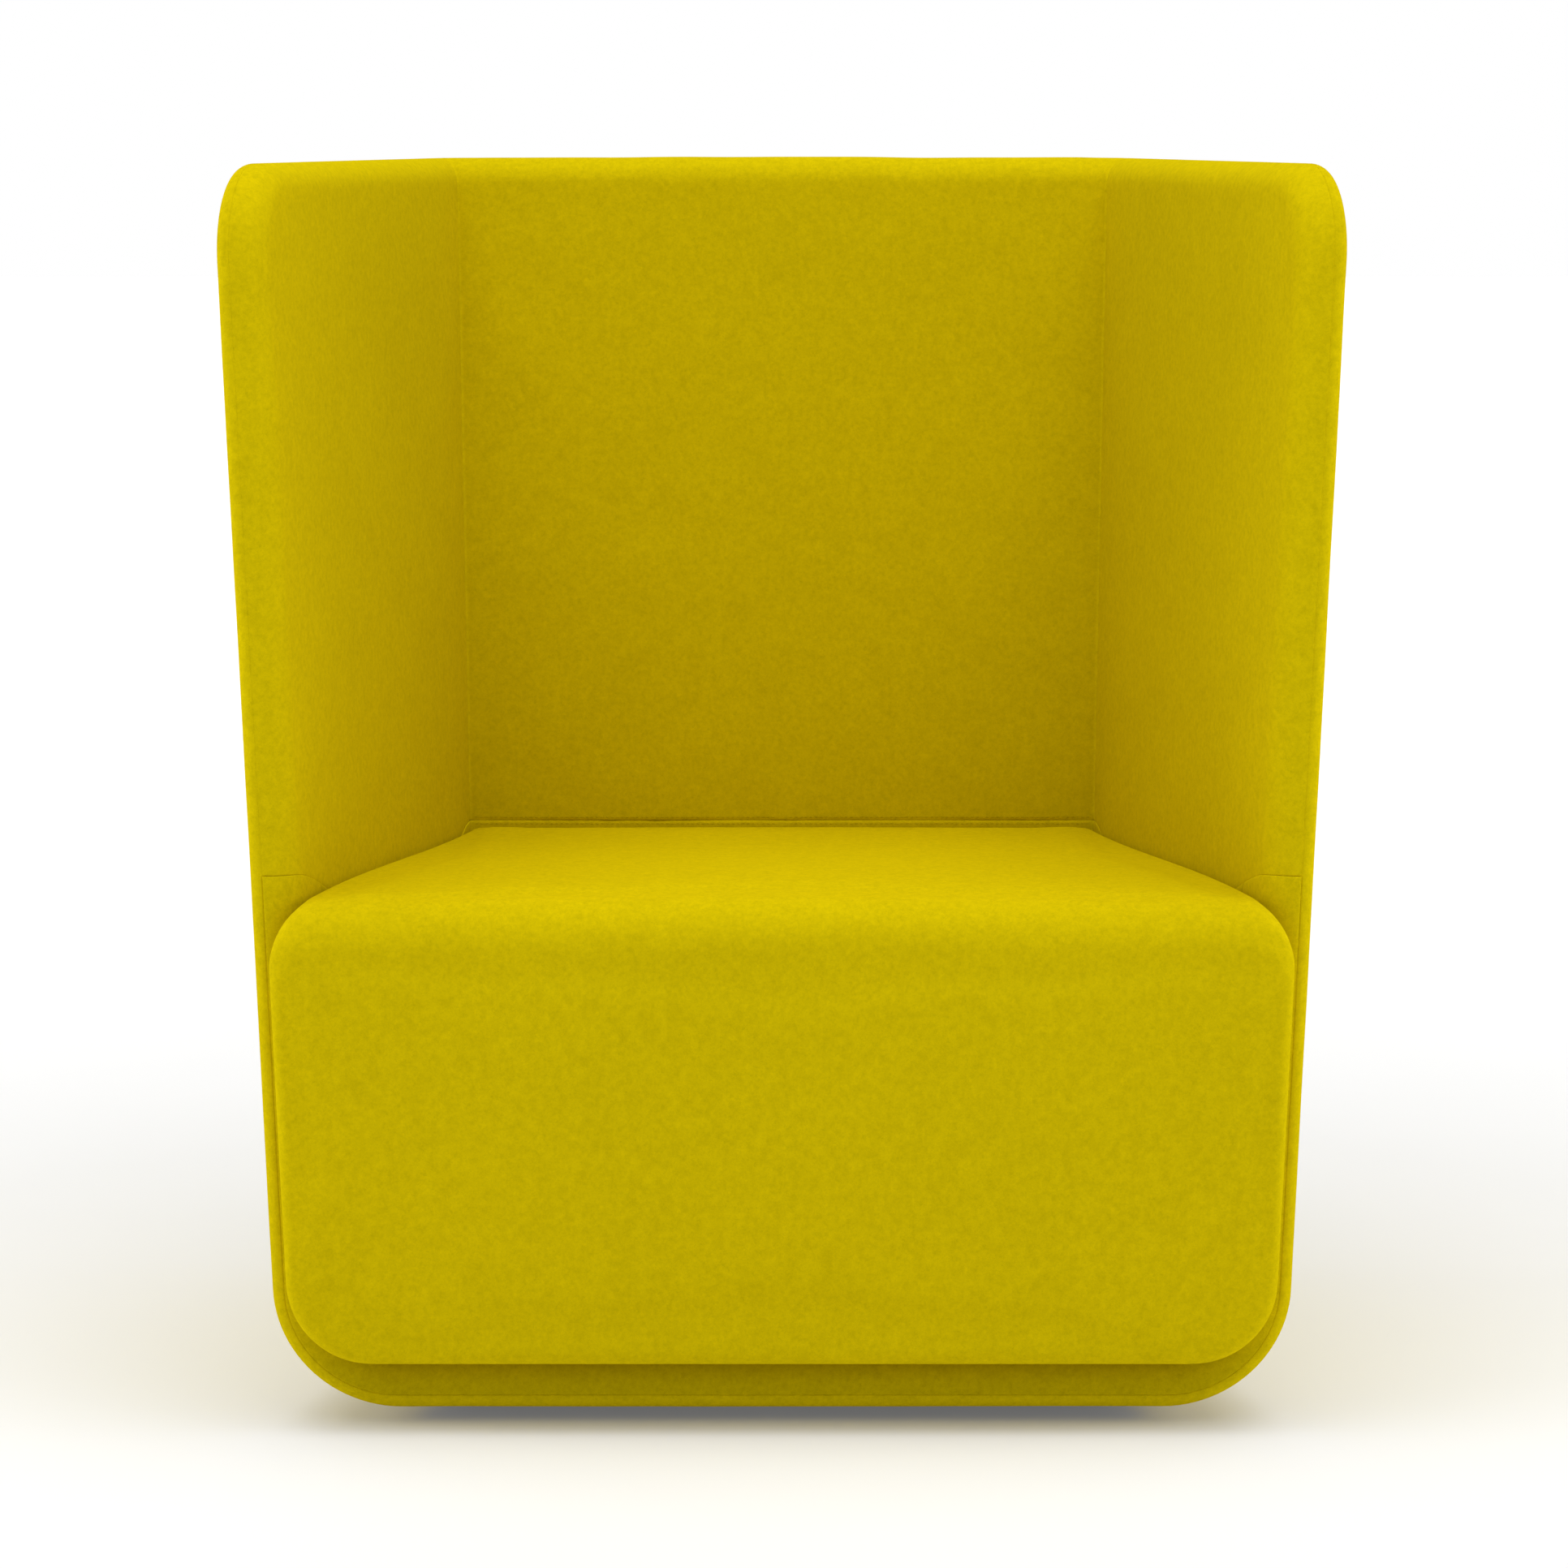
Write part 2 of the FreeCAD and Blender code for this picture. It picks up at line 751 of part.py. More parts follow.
def glide(place):
    """A plastic disc with a bevelled foot, a recess for a screw and a spigot up to the base frame."""
    foot = Part.makeCone(glide_radius - glide_bevel, glide_radius, glide_bevel, place)
    disc = upright(glide_radius, glide_bevel, glide_top(), place)
    spigot = upright(spigot_radius, glide_top(), frame_bottom, place)
    recess = upright(screw_head_radius, 0.0, glide_bevel, place)
    return foot.fuse([disc, spigot]).removeSplitter().cut(recess).cut(glide_screw(place))


def glide_bore(place):
    return upright(spigot_radius + spigot_gap, 0.0, frame_bottom, place)


# Covers

def tub_cover():
    """The whole fabric skin of the tub, open under the base and where the seat block stands in it."""
    skin_form = padded_tub(0.0).cut(padded_tub(cover_thickness))
    underside = flat_bottom_planes(dust_cover_margin + cover_hem)
    under = block(*underside, level(0.0), level(glide_height + cut_margin))
    seat_well = cavity(cut_margin).common(behind(tuck_end)).common(below(wing_board_bottom))
    return skin_form.cut(under).cut(seat_well)


def seam_body():
    """The space inside the seam that runs along the rim, a rim radius inside the tub's outer face."""
    inset = rim_outer_radius
    left, right = wing_out[-1].moved(-inset), wing_out[1].moved(-inset)
    front, top = front_plane.moved(wall_thickness), top_plane.moved(wall_thickness)
    back, bottom = back_out.moved(-inset), bottom_plane.moved(-inset)
    body = block(left, right, front, back, bottom, top)
    low_edges = edges_on(body, bottom, left) + edges_on(body, bottom, right)
    body = body.makeFillet(bottom_radius - inset, low_edges)
    rear_edges = [edge for edge in edges_on(body, back) if not edges_on(edge, top)]
    return body.makeFillet(rear_radius - inset, rear_edges)


def dust_cover():
    return block(*flat_bottom_planes(dust_cover_margin), level(glide_top()), level(glide_height))


def staples():
    """Staples that hold the dust cover's front and rear edges to the base frame."""
    wires = []
    left, right, front, back = flat_bottom_planes(dust_cover_margin + staple_edge)
    for line in (front, back):
        ends = [meeting_point(side_plane.moved(-staple_end_margin), line, level(glide_top()))
                for side_plane in (left, right)]
        for x in spread(ends[0].x, ends[1].x, staples_per_rail):
            corner = Vector(x - staple_crown / 2.0, ends[0].y, glide_top() - staple_wire)
            crown = Part.makeBox(staple_crown, staple_wire, staple_wire, corner)
            far_leg = corner + Vector(staple_crown - staple_wire, 0, 0)
            legs = [Part.makeBox(staple_wire, staple_wire, staple_leg + staple_wire, foot)
                    for foot in (corner, far_leg)]
            wires.append(crown.fuse(legs).removeSplitter())
    return wires


# Padding

def mitre(side):
    """The plane that halves the corner between a wing and the back."""
    normal = wing_in[side].normal - back_in.normal
    line_point = meeting_point(wing_in[side], back_in, level(seat_height))
    return Plane(normal, line_point)


def tub_padding(frame):
    """All the padding between the tub's frame and its cover, cut into one pad for each wall."""
    base_hollow = block(corner_start[-1], corner_start[1], across(front_rail_back), across(rear_board_front),
                        level(0.0), level(cavity_floor))
    hollow = back_hollow(cavity_floor, frame_top - top_rail_height)
    foam = padded_tub(skin).cut(list(frame) + [base_hollow, hollow])
    inner_base = block(corner_start[-1], corner_start[1], front_plane, across(rear_board_front),
                       level(0.0), level(cavity_floor))
    under_floor = below(cavity_floor)
    behind_panel = half_space(panel_front)
    below_boards = below(wing_board_bottom)
    wing_zones = {side: half_space(mitre(side)) for side in (-1, 1)}
    pads = {"base_front_pad": largest(foam.common(inner_base))}
    rest = foam.cut(inner_base)
    for name, side in sides.items():
        wing = rest.common(wing_zones[side])
        pads[name + "_wing_pad"] = largest(wing.cut(below_boards))
        pads[name + "_corner_pad"] = largest(wing.common(below_boards))
    back = rest.cut([wing_zones[-1], wing_zones[1]])
    pads["base_rear_pad"] = largest(back.common(under_floor))
    back = back.cut(under_floor)
    pads["outer_back_wadding"] = largest(back.common(behind_panel))
    pads["back_pad"] = largest(back.cut(behind_panel))
    return pads


def seat_padding():
    """The seat block's foam: a top slab, a front pad and a thin pad on each side."""
    form = seat_form(skin).cut(half_space(back_in.moved(-seat_gap)))
    deck = felt_bottom() + felt_thickness
    top_slab = form.common(above(deck))
    front_pad = form.cut(above(deck)).common(ahead_of(tuck_end))
    pads = {"seat_foam": whole(top_slab), "seat_front_pad": whole(front_pad)}
    for name, side in sides.items():
        outer = seat_side[side].moved(side_pad_thickness)
        pads["seat_" + name + "_pad"] = block(outer, seat_side[side], across(tuck_end), across(seat_box_rear),
                                              level(wing_board_bottom), level(deck))
    return pads


def seat_cover():
    """The seat's fabric: top, front, sides and the tuck under the front, open where the frame carries it."""
    form = seat_form(0.0).cut(half_space(back_in.moved(-seat_gap)))
    skirt = behind(tuck_end).common(below(wing_board_bottom))
    return whole(form.cut(seat_form(cover_thickness)).cut(skirt))


def build():
    """Every piece of the chair by its name."""
    screws = frame_screws()
    box_screws = seat_box_screws()
    pins = dowels()
    bolts = bolt_places()
    feet = glide_places()
    bolt_bores = [bolt_bore(place) for place in bolts]
    foot_screws = [glide_screw(place) for place in feet]
    foot_bores = [glide_bore(place) for place in feet]
    tacks = staples()

    frame = {
        "front_base_rail": front_base_rail(),
        "rear_base_board": rear_base_board(),
        "left_bent_corner": bent_corner(-1),
        "right_bent_corner": bent_corner(1),
        "left_wing_board": wing_board(-1),
        "right_wing_board": wing_board(1),
        "inner_back_board": inner_back_board(),
        "left_rear_post": rear_post(-1),
        "right_rear_post": rear_post(1),
        "top_back_rail": back_hollow(frame_top - top_rail_height, frame_top),
        "outer_back_panel": outer_back_panel(),
    }
    pads = tub_padding(frame.values())
    drilled = screws + pins + bolt_bores + foot_screws + tacks
    pieces = {name: whole(shape.cut(drilled)) for name, shape in frame.items()}

    seat_box = {
        "seat_front_board": seat_end_board(tuck_end),
        "seat_rear_board": seat_end_board(seat_box_rear - seat_board_thickness),
        "seat_left_board": seat_side_board(-1),
        "seat_right_board": seat_side_board(1),
    }
    pieces.update({name: whole(shape.cut(box_screws)) for name, shape in seat_box.items()})
    pieces["seat_bolt_blocks"] = Part.makeCompound([whole(part.cut(bolt_bores)) for part in bolt_blocks()])

    springs = [spring(x) for x in spring_places()]
    pieces["seat_springs"] = Part.makeCompound(springs)
    clips = [spring_clip(x, y) for x in spring_places() for y in spring_ends()]
    pieces["spring_clips"] = Part.makeCompound(clips)
    pieces["spring_felt"] = spring_felt()
    pieces.update(seat_padding())
    pieces["seat_cover"] = seat_cover()

    pieces.update({name: whole(shape.cut(screws + foot_bores + tacks)) for name, shape in pads.items()})
    cover = tub_cover()
    inside = cover.common(seam_body())
    below_seam = below(seam_height)
    pieces["inner_cover"] = largest(inside.cut(below_seam))
    pieces["lower_facing"] = largest(inside.common(below_seam))
    pieces["outer_cover"] = largest(cover.cut(seam_body()).cut(foot_bores + tacks))
    pieces["dust_cover"] = whole(dust_cover().cut(foot_bores + tacks))

    pieces["frame_screws"] = Part.makeCompound(screws)
    pieces["seat_box_screws"] = Part.makeCompound(box_screws)
    pieces["frame_dowels"] = Part.makeCompound(pins)
    pieces["seat_bolts"] = Part.makeCompound([seat_bolt(place) for place in bolts])
    pieces["bolt_washers"] = Part.makeCompound([bolt_washer(place) for place in bolts])
    pieces["tee_nuts"] = Part.makeCompound([tee_nut(place) for place in bolts])
    pieces["dust_cover_staples"] = Part.makeCompound(tacks)
    pieces["glides"] = Part.makeCompound([glide(place) for place in feet])
    pieces["glide_screws"] = Part.makeCompound(foot_screws)
    return pieces


os.makedirs("parts", exist_ok=True)
for node, shape in build().items():
    box = shape.optimalBoundingBox()
    print(node, len(shape.Solids), "solids", shape.isValid(), round(shape.Volume / 1000.0, 1), "cm3",
          [round(v, 1) for v in (box.XMin, box.XMax, box.YMin, box.YMax, box.ZMin, box.ZMax)])
    shape.exportStep("parts/" + node + ".step")
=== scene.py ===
import json
import math

import bmesh
import bpy
import numpy as np
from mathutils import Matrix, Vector, kdtree


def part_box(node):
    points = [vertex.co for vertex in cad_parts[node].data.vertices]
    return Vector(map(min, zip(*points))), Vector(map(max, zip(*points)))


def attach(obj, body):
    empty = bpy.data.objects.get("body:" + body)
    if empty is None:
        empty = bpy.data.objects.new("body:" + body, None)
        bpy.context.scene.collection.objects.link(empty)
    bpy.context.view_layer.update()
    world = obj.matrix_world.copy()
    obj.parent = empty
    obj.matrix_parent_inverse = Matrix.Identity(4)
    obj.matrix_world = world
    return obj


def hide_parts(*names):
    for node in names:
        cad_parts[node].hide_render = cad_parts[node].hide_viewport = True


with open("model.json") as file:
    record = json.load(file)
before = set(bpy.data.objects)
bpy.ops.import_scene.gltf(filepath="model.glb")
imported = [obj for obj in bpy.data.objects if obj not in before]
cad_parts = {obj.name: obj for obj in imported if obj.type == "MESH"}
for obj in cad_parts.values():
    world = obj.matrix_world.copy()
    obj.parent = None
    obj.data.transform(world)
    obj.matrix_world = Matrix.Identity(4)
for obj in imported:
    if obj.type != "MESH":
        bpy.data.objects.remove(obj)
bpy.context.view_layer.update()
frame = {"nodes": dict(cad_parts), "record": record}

# Sizes of the chair in millimetres, as in the part's source
height = 1030.0
depth = 710.0
seat_height = 417.0
half_back_width = 284.0
splay = math.tan(math.radians(11.5))
flare = math.tan(math.radians(2.3))
recline = math.tan(math.radians(6.0))
lean = math.tan(math.radians(3.5))
wall = 40.0
back_top_thickness = 70.5
glide_height = 12.0
floor_height = 57.0
bottom_radius = 100.0
rear_radius = 60.0
wing_corner_radius = 80.0
rim_outer_radius = 14.0
rim_inner_radius = 24.0
cavity_radius = 60.0
seam_height = 428.0
seat_front = -depth / 2.0
shell_front = seat_front + 40.0
seat_bottom = 58.0
seat_top_radius = 40.0
seat_inner_radius = 8.0
seat_rear_rise = 6.0
seat_front_rise = 20.0
seat_slope_rear = 200.0
seat_slope_run = 460.0
seat_edge_radius = 14.0
seat_bottom_radius = 66.0
seat_side_reveal = 20.0
seat_flare_reach = 17.0
seat_gap = 1.5
cloth_thickness = 2.0

# The seam on the wings leaves its level: it dips behind the seat and climbs to the front rim
seam_dip = 18.0
seam_dip_run = 60.0
seam_front_rise = 28.0
seam_climb_start = -140.0
seam_climb_run = 175.0
seam_spread = 60.0

# The rounding of the seat's top grows nearer the front than in the part's source, for a fuller corner
seat_inner_start = 18.0

# Values that follow from them
back_foot = depth / 2.0 - back_top_thickness - (height - seat_height) * recline
stretch = math.sqrt(1.0 + splay * splay + flare * flare)
back_stretch = math.sqrt(1.0 + recline * recline)
rear_stretch = math.sqrt(1.0 + lean * lean)
rear_top = depth / 2.0 - rim_outer_radius + rim_outer_radius / rear_stretch
rear_top_z = height - rim_outer_radius - rim_outer_radius * lean / rear_stretch
corner_y = shell_front + wing_corner_radius
corner_z = height - wing_corner_radius
wing_seam = wall - rim_outer_radius
quarter = math.pi / 2.0
mirror = np.array([-1.0, 1.0, 1.0])
MM = 0.001

# Points of a mesh closer than this are one point, and shorter edges go, in metres
sewn_distance, shortest_edge = 2e-5, 1e-6


def steps(low, high, spacing):
    """Evenly spaced values from low to high, both included, about one spacing apart."""
    return np.linspace(low, high, max(2, int(round(abs(high - low) / spacing)) + 1))


def wing_inside(y, z):
    """Half the inside width between the wings."""
    return half_back_width + splay * (back_foot - y) + flare * (z - seat_height)


def wing_point(side, y, z, n):
    """A point beside a wing's inside face, n millimetres into the wall."""
    y, z, n = np.broadcast_arrays(np.asarray(y, float), np.asarray(z, float), np.asarray(n, float))
    return np.stack([side * (wing_inside(y, z) + stretch * n), y, z], -1)


def eased(y, start, run):
    """From 0 at the start to 1 at a run nearer the front, with smooth ends."""
    share = np.clip((start - y) / run, 0.0, 1.0)
    return share * share * (3.0 - 2.0 * share)


def dipped(y, z):
    """Heights on a wing, moved so that the level seam dips behind the seat and climbs to the front rim."""
    climb = eased(y, seam_climb_start, seam_climb_run)
    dip = eased(y, back_foot, seam_dip_run) * (1.0 - climb)
    shift = seam_front_rise * climb - seam_dip * dip
    return z + shift * np.exp(-((z - seam_height) / seam_spread) ** 2)


def back_inside(z):
    return back_foot + recline * (z - seat_height)


def back_outside(z):
    return rear_top + lean * (z - rear_top_z)


# Meshes from patches of points

class Patches:
    """Grids of points that become one mesh, sewn together where they share points."""

    def __init__(self):
        self.points, self.faces, self.count = [], [], 0

    def add(self, grid, keep=None):
        rows, columns = grid.shape[:2]
        index = np.arange(rows * columns).reshape(rows, columns) + self.count
        quads = np.stack([index[:-1, :-1], index[1:, :-1], index[1:, 1:], index[:-1, 1:]], -1)
        if keep is not None:
            quads = quads[keep]
        self.points.append(grid.reshape(-1, 3))
        self.faces.append(quads.reshape(-1, 4))
        self.count += rows * columns

    def mirrored(self, grid, keep=None):
        self.add(grid, keep)
        self.add(grid * mirror, keep)

    def piece(self, name, inside):
        """The mesh object, with its faces turned away from the inside point."""
        mesh = bpy.data.meshes.new(name)
        points = np.concatenate(self.points) * MM
        mesh.from_pydata(points.tolist(), [], np.concatenate(self.faces).tolist())
        work = bmesh.new()
        work.from_mesh(mesh)
        bmesh.ops.remove_doubles(work, verts=work.verts, dist=sewn_distance)
        bmesh.ops.dissolve_degenerate(work, edges=work.edges, dist=shortest_edge)
        loose = [vert for vert in work.verts if not vert.link_faces]
        bmesh.ops.delete(work, geom=loose, context="VERTS")
        bmesh.ops.recalc_face_normals(work, faces=work.faces)
        centre = Vector(inside) * MM
        votes = sum(face.calc_area() * face.normal.dot((face.calc_center_median() - centre).normalized())
                    for face in work.faces)
        if votes < 0:
            bmesh.ops.reverse_faces(work, faces=work.faces)
        for face in work.faces:
            face.smooth = True
        work.to_mesh(mesh)
        work.free()
        piece = bpy.data.objects.new(name, mesh)
        bpy.context.scene.collection.objects.link(piece)
        return piece


def coordinates(piece):
    co = np.empty(len(piece.data.vertices) * 3)
    piece.data.vertices.foreach_get("co", co)
    return co.reshape(-1, 3)


def normals(piece):
    vectors = np.empty(len(piece.data.vertices) * 3)
    piece.data.vertices.foreach_get("normal", vectors)
    return vectors.reshape(-1, 3)


def place(piece, co):
    piece.data.vertices.foreach_set("co", co.ravel())
    piece.data.update()


def ripple(co, wavelength, seed, waves=9):
    """Smooth waves over the points, between about -1 and 1, the same each run."""
    draw = np.random.default_rng(seed)
    total = np.zeros(len(co))
    for _ in range(waves):
        way = draw.normal(size=3)
        way /= np.linalg.norm(way)
        turns = 2.0 * math.pi / (wavelength * draw.uniform(0.7, 1.6))
        total += np.sin(co @ way * turns + draw.uniform(0.0, 2.0 * math.pi))
    return total / math.sqrt(waves)


def distance_to(lines, co):
    """How far each point is from the nearest of some densely sampled lines, in metres."""
    samples = np.concatenate(lines) * MM
    tree = kdtree.KDTree(len(samples))
    for index, sample in enumerate(samples):
        tree.insert(sample, index)
    tree.balance()
    return np.array([tree.find(point)[2] for point in co])


def dense(line, spacing=1.0):
    """A polyline sampled about every millimetre."""
    line = np.asarray(line, float)
    length = np.concatenate([[0.0], np.cumsum(np.linalg.norm(np.diff(line, axis=0), axis=1))])
    at = np.arange(0.0, length[-1], spacing)
    return np.stack([np.interp(at, length, line[:, axis]) for axis in range(3)], -1)


# Wavelengths in metres of the unevenness along seams and over the padding, and the weights of the small waves
sewing_wavelength, sewing_wave = 0.022, 0.18
broad_wavelength, small_wavelength, small_share = 0.21, 0.075, 0.45


def sew(piece, lines, groove, reach, seed):
    """Rolls the cloth down into the seams along some lines, a little unevenly as sewn cloth lies."""
    co = coordinates(piece)
    near = distance_to(lines, co) / (reach * MM)
    roll = np.clip(1.0 - near, 0.0, 1.0)
    drop = 1.0 - np.sqrt(1.0 - roll * roll)
    uneven = 1.0 + sewing_wave * ripple(co, sewing_wavelength, seed)
    place(piece, co - normals(piece) * (groove * MM * drop * uneven)[:, None])


def swell(piece, lines, amount, reach, wave, seed):
    """Puffs the cloth between its seams and gives it the slight waves of hand-laid padding."""
    co = coordinates(piece)
    near = distance_to(lines, co) / (reach * MM)
    puff = amount * (1.0 - np.exp(-near * near))
    broad, small = ripple(co, broad_wavelength, seed), ripple(co, small_wavelength, seed + 1)
    waves = wave * (broad + small_share * small) * np.clip(near, 0.0, 1.0)
    place(piece, co + normals(piece) * ((puff - amount + waves) * MM)[:, None])


def thicken(piece):
    """Gives a sheet the thickness of its cloth, inwards."""
    solid = piece.modifiers.new("cloth", "SOLIDIFY")
    solid.thickness = cloth_thickness * MM
    solid.offset = -1.0
    solid.use_rim = True


# The outside of the tub

outer_arc = np.linspace(0.0, quarter, 13)
outer_flat = steps(rim_outer_radius, wing_corner_radius, 5.0)[1:]
outer_layer = np.concatenate([rim_outer_radius * (1.0 - np.cos(outer_arc)), outer_flat])
outer_inset = np.concatenate([rim_outer_radius * (1.0 - np.sin(outer_arc)), 0.0 * outer_flat])
low_turns = np.linspace(0.0, quarter, 25)
side_rows = steps(corner_z, glide_height + bottom_radius, 8.0)[1:]
row_heights = np.concatenate([height - outer_layer, side_rows, 0.0 * low_turns[1:]])
row_turns = np.concatenate([0.0 * outer_layer, 0.0 * side_rows, low_turns[1:]])
row_insets = np.concatenate([outer_inset, 0.0 * side_rows, 0.0 * low_turns[1:]])
rear_share = np.concatenate([np.linspace(0.0, 0.9, 14), np.array([0.94, 0.97, 0.985, 1.0])])
seam_steps = np.array([0.0, 0.8, 1.8, 3.2, 5.0])
edge_steps = np.array([0.0, 0.8, 1.8, 3.2, 5.2, 8.0])
edge_run = 200.0
across_share = np.concatenate([1.0 - edge_steps / edge_run, steps(0.945, 0.0, 0.03)])
across_share = np.concatenate([across_share, -across_share[-2::-1]])
hem = 41.0


def outer_tube(z, turn, inset):
    """Wall offset and height on the outside of a wing or on the rounded corner under it."""
    radius = bottom_radius - inset
    n = wall - inset - radius * (1.0 - np.cos(turn))
    low = glide_height + inset + radius * (1.0 - np.sin(turn))
    return n, np.where(turn > 0.0, low, z)


def outer_front_grid():
    """The rim along the front edge, below the rounded corner at the top."""
    start = len(outer_layer) - 1
    n, z = outer_tube(row_heights[start:, None], row_turns[start:, None], outer_inset[None, :])
    return wing_point(1, shell_front + outer_layer[None, :], z, n)


def rear_corner_grid():
    """The rounding from the outside of a wing, and from the corner under it, to the back."""
    n, z = outer_tube(row_heights, row_turns, row_insets)
    corner = wing_point(1, back_outside(z) - rear_stretch * row_insets, z, n)
    level = np.array([1.0, splay, 0.0]) / math.hypot(1.0, splay)
    outward = np.cos(row_turns)[:, None] * level + np.sin(row_turns)[:, None] * np.array([0.0, 0.0, -1.0])
    tilt = math.atan(lean) * np.sin(row_turns)
    rearward = np.stack([0.0 * tilt, np.cos(tilt), -np.sin(tilt)], -1)
    meet = np.einsum("ij,ij->i", outward, rearward)
    ahead = meet[:, None] * outward - rearward
    ahead /= np.linalg.norm(ahead, axis=1)[:, None]
    bend = np.arccos(meet)
    radius = rear_radius - row_insets
    reach = radius / np.tan((math.pi - bend) / 2.0)
    turn = rear_share[None, :] * bend[:, None]
    along = reach[:, None] - radius[:, None] * np.sin(turn)
    inward = radius[:, None] * (1.0 - np.cos(turn))
    return corner[:, None] + along[..., None] * ahead[:, None] - inward[..., None] * outward[:, None]


def outer_side_grid(rear_corner):
    n, z = outer_tube(row_heights, row_turns, row_insets)
    front = wing_point(1, corner_y, z, n)
    share = steps(0.0, 1.0, 0.0165)[None, :, None]
    return front[:, None] + share * (rear_corner[:, :1] - front[:, None])


def corner_grid(d, n):
    """The rounded front corner at the top of a wing, from the front edge to the top edge."""
    turn = np.linspace(0.0, quarter, 25)[:, None]
    reach = wing_corner_radius - d[None, :]
    y = corner_y - reach * np.cos(turn)
    z = corner_z + reach * np.sin(turn)
    return wing_point(1, y, z, n[None, :] + 0.0 * turn)


def across_chair(edge):
    """Rows of points between a right-hand edge and its mirror image."""
    grid = np.repeat(edge[:, None, :], len(across_share), axis=1)
    grid[..., 0] *= across_share[None, :]
    return grid


def outer_back_grid(edge):
    """The back, down to the seam along its bottom and round its bottom corners."""
    straight = np.count_nonzero(row_turns == 0.0)
    upper = across_chair(edge[:straight])
    head, low_edge = upper[-1], edge[:straight - 2:-1]
    foot = head.copy()
    for axis in (1, 2):
        foot[:, axis] = np.interp(np.abs(head[:, 0]), low_edge[:, 0], low_edge[:, axis])
    share = steps(0.0, 1.0, 0.1)[1:, None, None]
    return np.concatenate([upper, head + share * (foot - head)])


def underside_grid(edge):
    """The flat underside, of which only a hem along the edges is cloth."""
    grid = across_chair(edge)
    inward = edge[:, None, 0] - np.abs(grid[..., 0])
    ahead = grid[..., 1] - shell_front - rim_outer_radius
    behind = back_outside(glide_height) - rear_radius - grid[..., 1]
    open_space = (inward > hem) & (ahead > hem) & (behind > hem)
    return grid, ~open_space[:-1, :-1]


outer_front = outer_front_grid()
rear_corner = rear_corner_grid()
outer_side = outer_side_grid(rear_corner)
rear_edge = rear_corner[:, -1]
outer_corner = corner_grid(outer_layer, wall - outer_inset)
outer = Patches()
outer.mirrored(outer_side)
outer.mirrored(outer_front)
outer.mirrored(outer_corner)
outer.mirrored(rear_corner)
outer.add(*underside_grid(np.concatenate([outer_front[-1], outer_side[-1, 1:], rear_corner[-1, 1:]])))
outer_cover = outer.piece("outer_cover_felt", (0.0, 0.0, 500.0))

rear = Patches()
rear.add(outer_back_grid(rear_edge))
outer_back = rear.piece("outer_back_felt", (0.0, 0.0, 500.0))

# The inside of the tub, above the horizontal seam

inner_arc = np.linspace(0.0, quarter, 17)[1:]
rim_share = np.array([0.3, 0.6, 0.8, 0.9, 0.96, 1.0])
inner_flat = steps(wing_corner_radius, rim_inner_radius, 5.0)
rim_width = wing_seam - rim_inner_radius
layer = np.concatenate([inner_flat, rim_inner_radius * (1.0 - np.sin(inner_arc)), 0.0 * rim_share])
layer_wall = np.concatenate([0.0 * inner_flat, rim_inner_radius * (1.0 - np.cos(inner_arc)),
                             rim_inner_radius + rim_width * rim_share])
wing_rows = np.concatenate([seam_height + seam_steps, steps(seam_height + 9.0, corner_z, 6.5)])
crease_steps = np.append(edge_steps, 12.0)
wing_run, back_run = 520.0, 285.0
crease_share = 1.0 - np.concatenate([crease_steps / wing_run, steps(0.035, 1.0, 0.0125)])
back_share = np.concatenate([1.0 - crease_steps / back_run, steps(0.935, 0.0, 0.024)])
rim_top = np.concatenate([outer_side[0], rear_corner[0, 1:], [[0.0, rear_edge[0, 1], height]]])
rim_turn = np.flatnonzero(rim_top[:, 1] > back_inside(height) + rim_inner_radius + 4.0)[0]
inner_heights = np.concatenate([wing_rows, height - layer[1:]])
inner_walls = np.concatenate([0.0 * wing_rows, layer_wall[1:]])
rim_rows = len(inner_heights) - len(rim_share)


def resampled(line, shares):
    """Points at some shares of a polyline's length."""
    length = np.concatenate([[0.0], np.cumsum(np.linalg.norm(np.diff(line, axis=0), axis=1))])
    return np.stack([np.interp(shares * length[-1], length, line[:, axis]) for axis in range(3)], -1)


def to_rim_seam(grid, goal):
    """Fills the flat top of the rim, between the inner rounding and the seam."""
    for row, share in enumerate(rim_share, rim_rows):
        grid[row] = grid[rim_rows - 1] + (goal - grid[rim_rows - 1]) * share
    return grid


def inner_wing_grid():
    end = back_inside(inner_heights) + back_stretch * inner_walls
    y = corner_y + crease_share[None, :] * (end - corner_y)[:, None]
    grid = wing_point(1, y, dipped(y, inner_heights[:, None]), inner_walls[:, None])
    return to_rim_seam(grid, resampled(rim_top[:rim_turn + 1], crease_share))


def inner_back_grid(wing):
    """The back, between the rear edges of the wing grids."""
    x = wing[:, :1, 0] * back_share[None, :]
    grid = np.stack([x, wing[:, :1, 1] + 0.0 * x, inner_heights[:, None] + 0.0 * x], -1)
    right = to_rim_seam(grid, resampled(rim_top[rim_turn:], 1.0 - back_share))
    return np.concatenate([right, right[:, -2::-1] * mirror], 1)


inner_y = shell_front + layer[None, :]
inner_front = wing_point(1, inner_y, dipped(inner_y, wing_rows[:, None]), layer_wall[None, :])
inner_wing = inner_wing_grid()
inner = Patches()
inner.mirrored(inner_wing)
inner.mirrored(inner_front)
inner.mirrored(corner_grid(layer, layer_wall))
inner.add(inner_back_grid(inner_wing))
inner_cover = inner.piece("inner_cover_felt", (0.0, 2000.0, 700.0))

# The facing below the horizontal seam, round the front rim

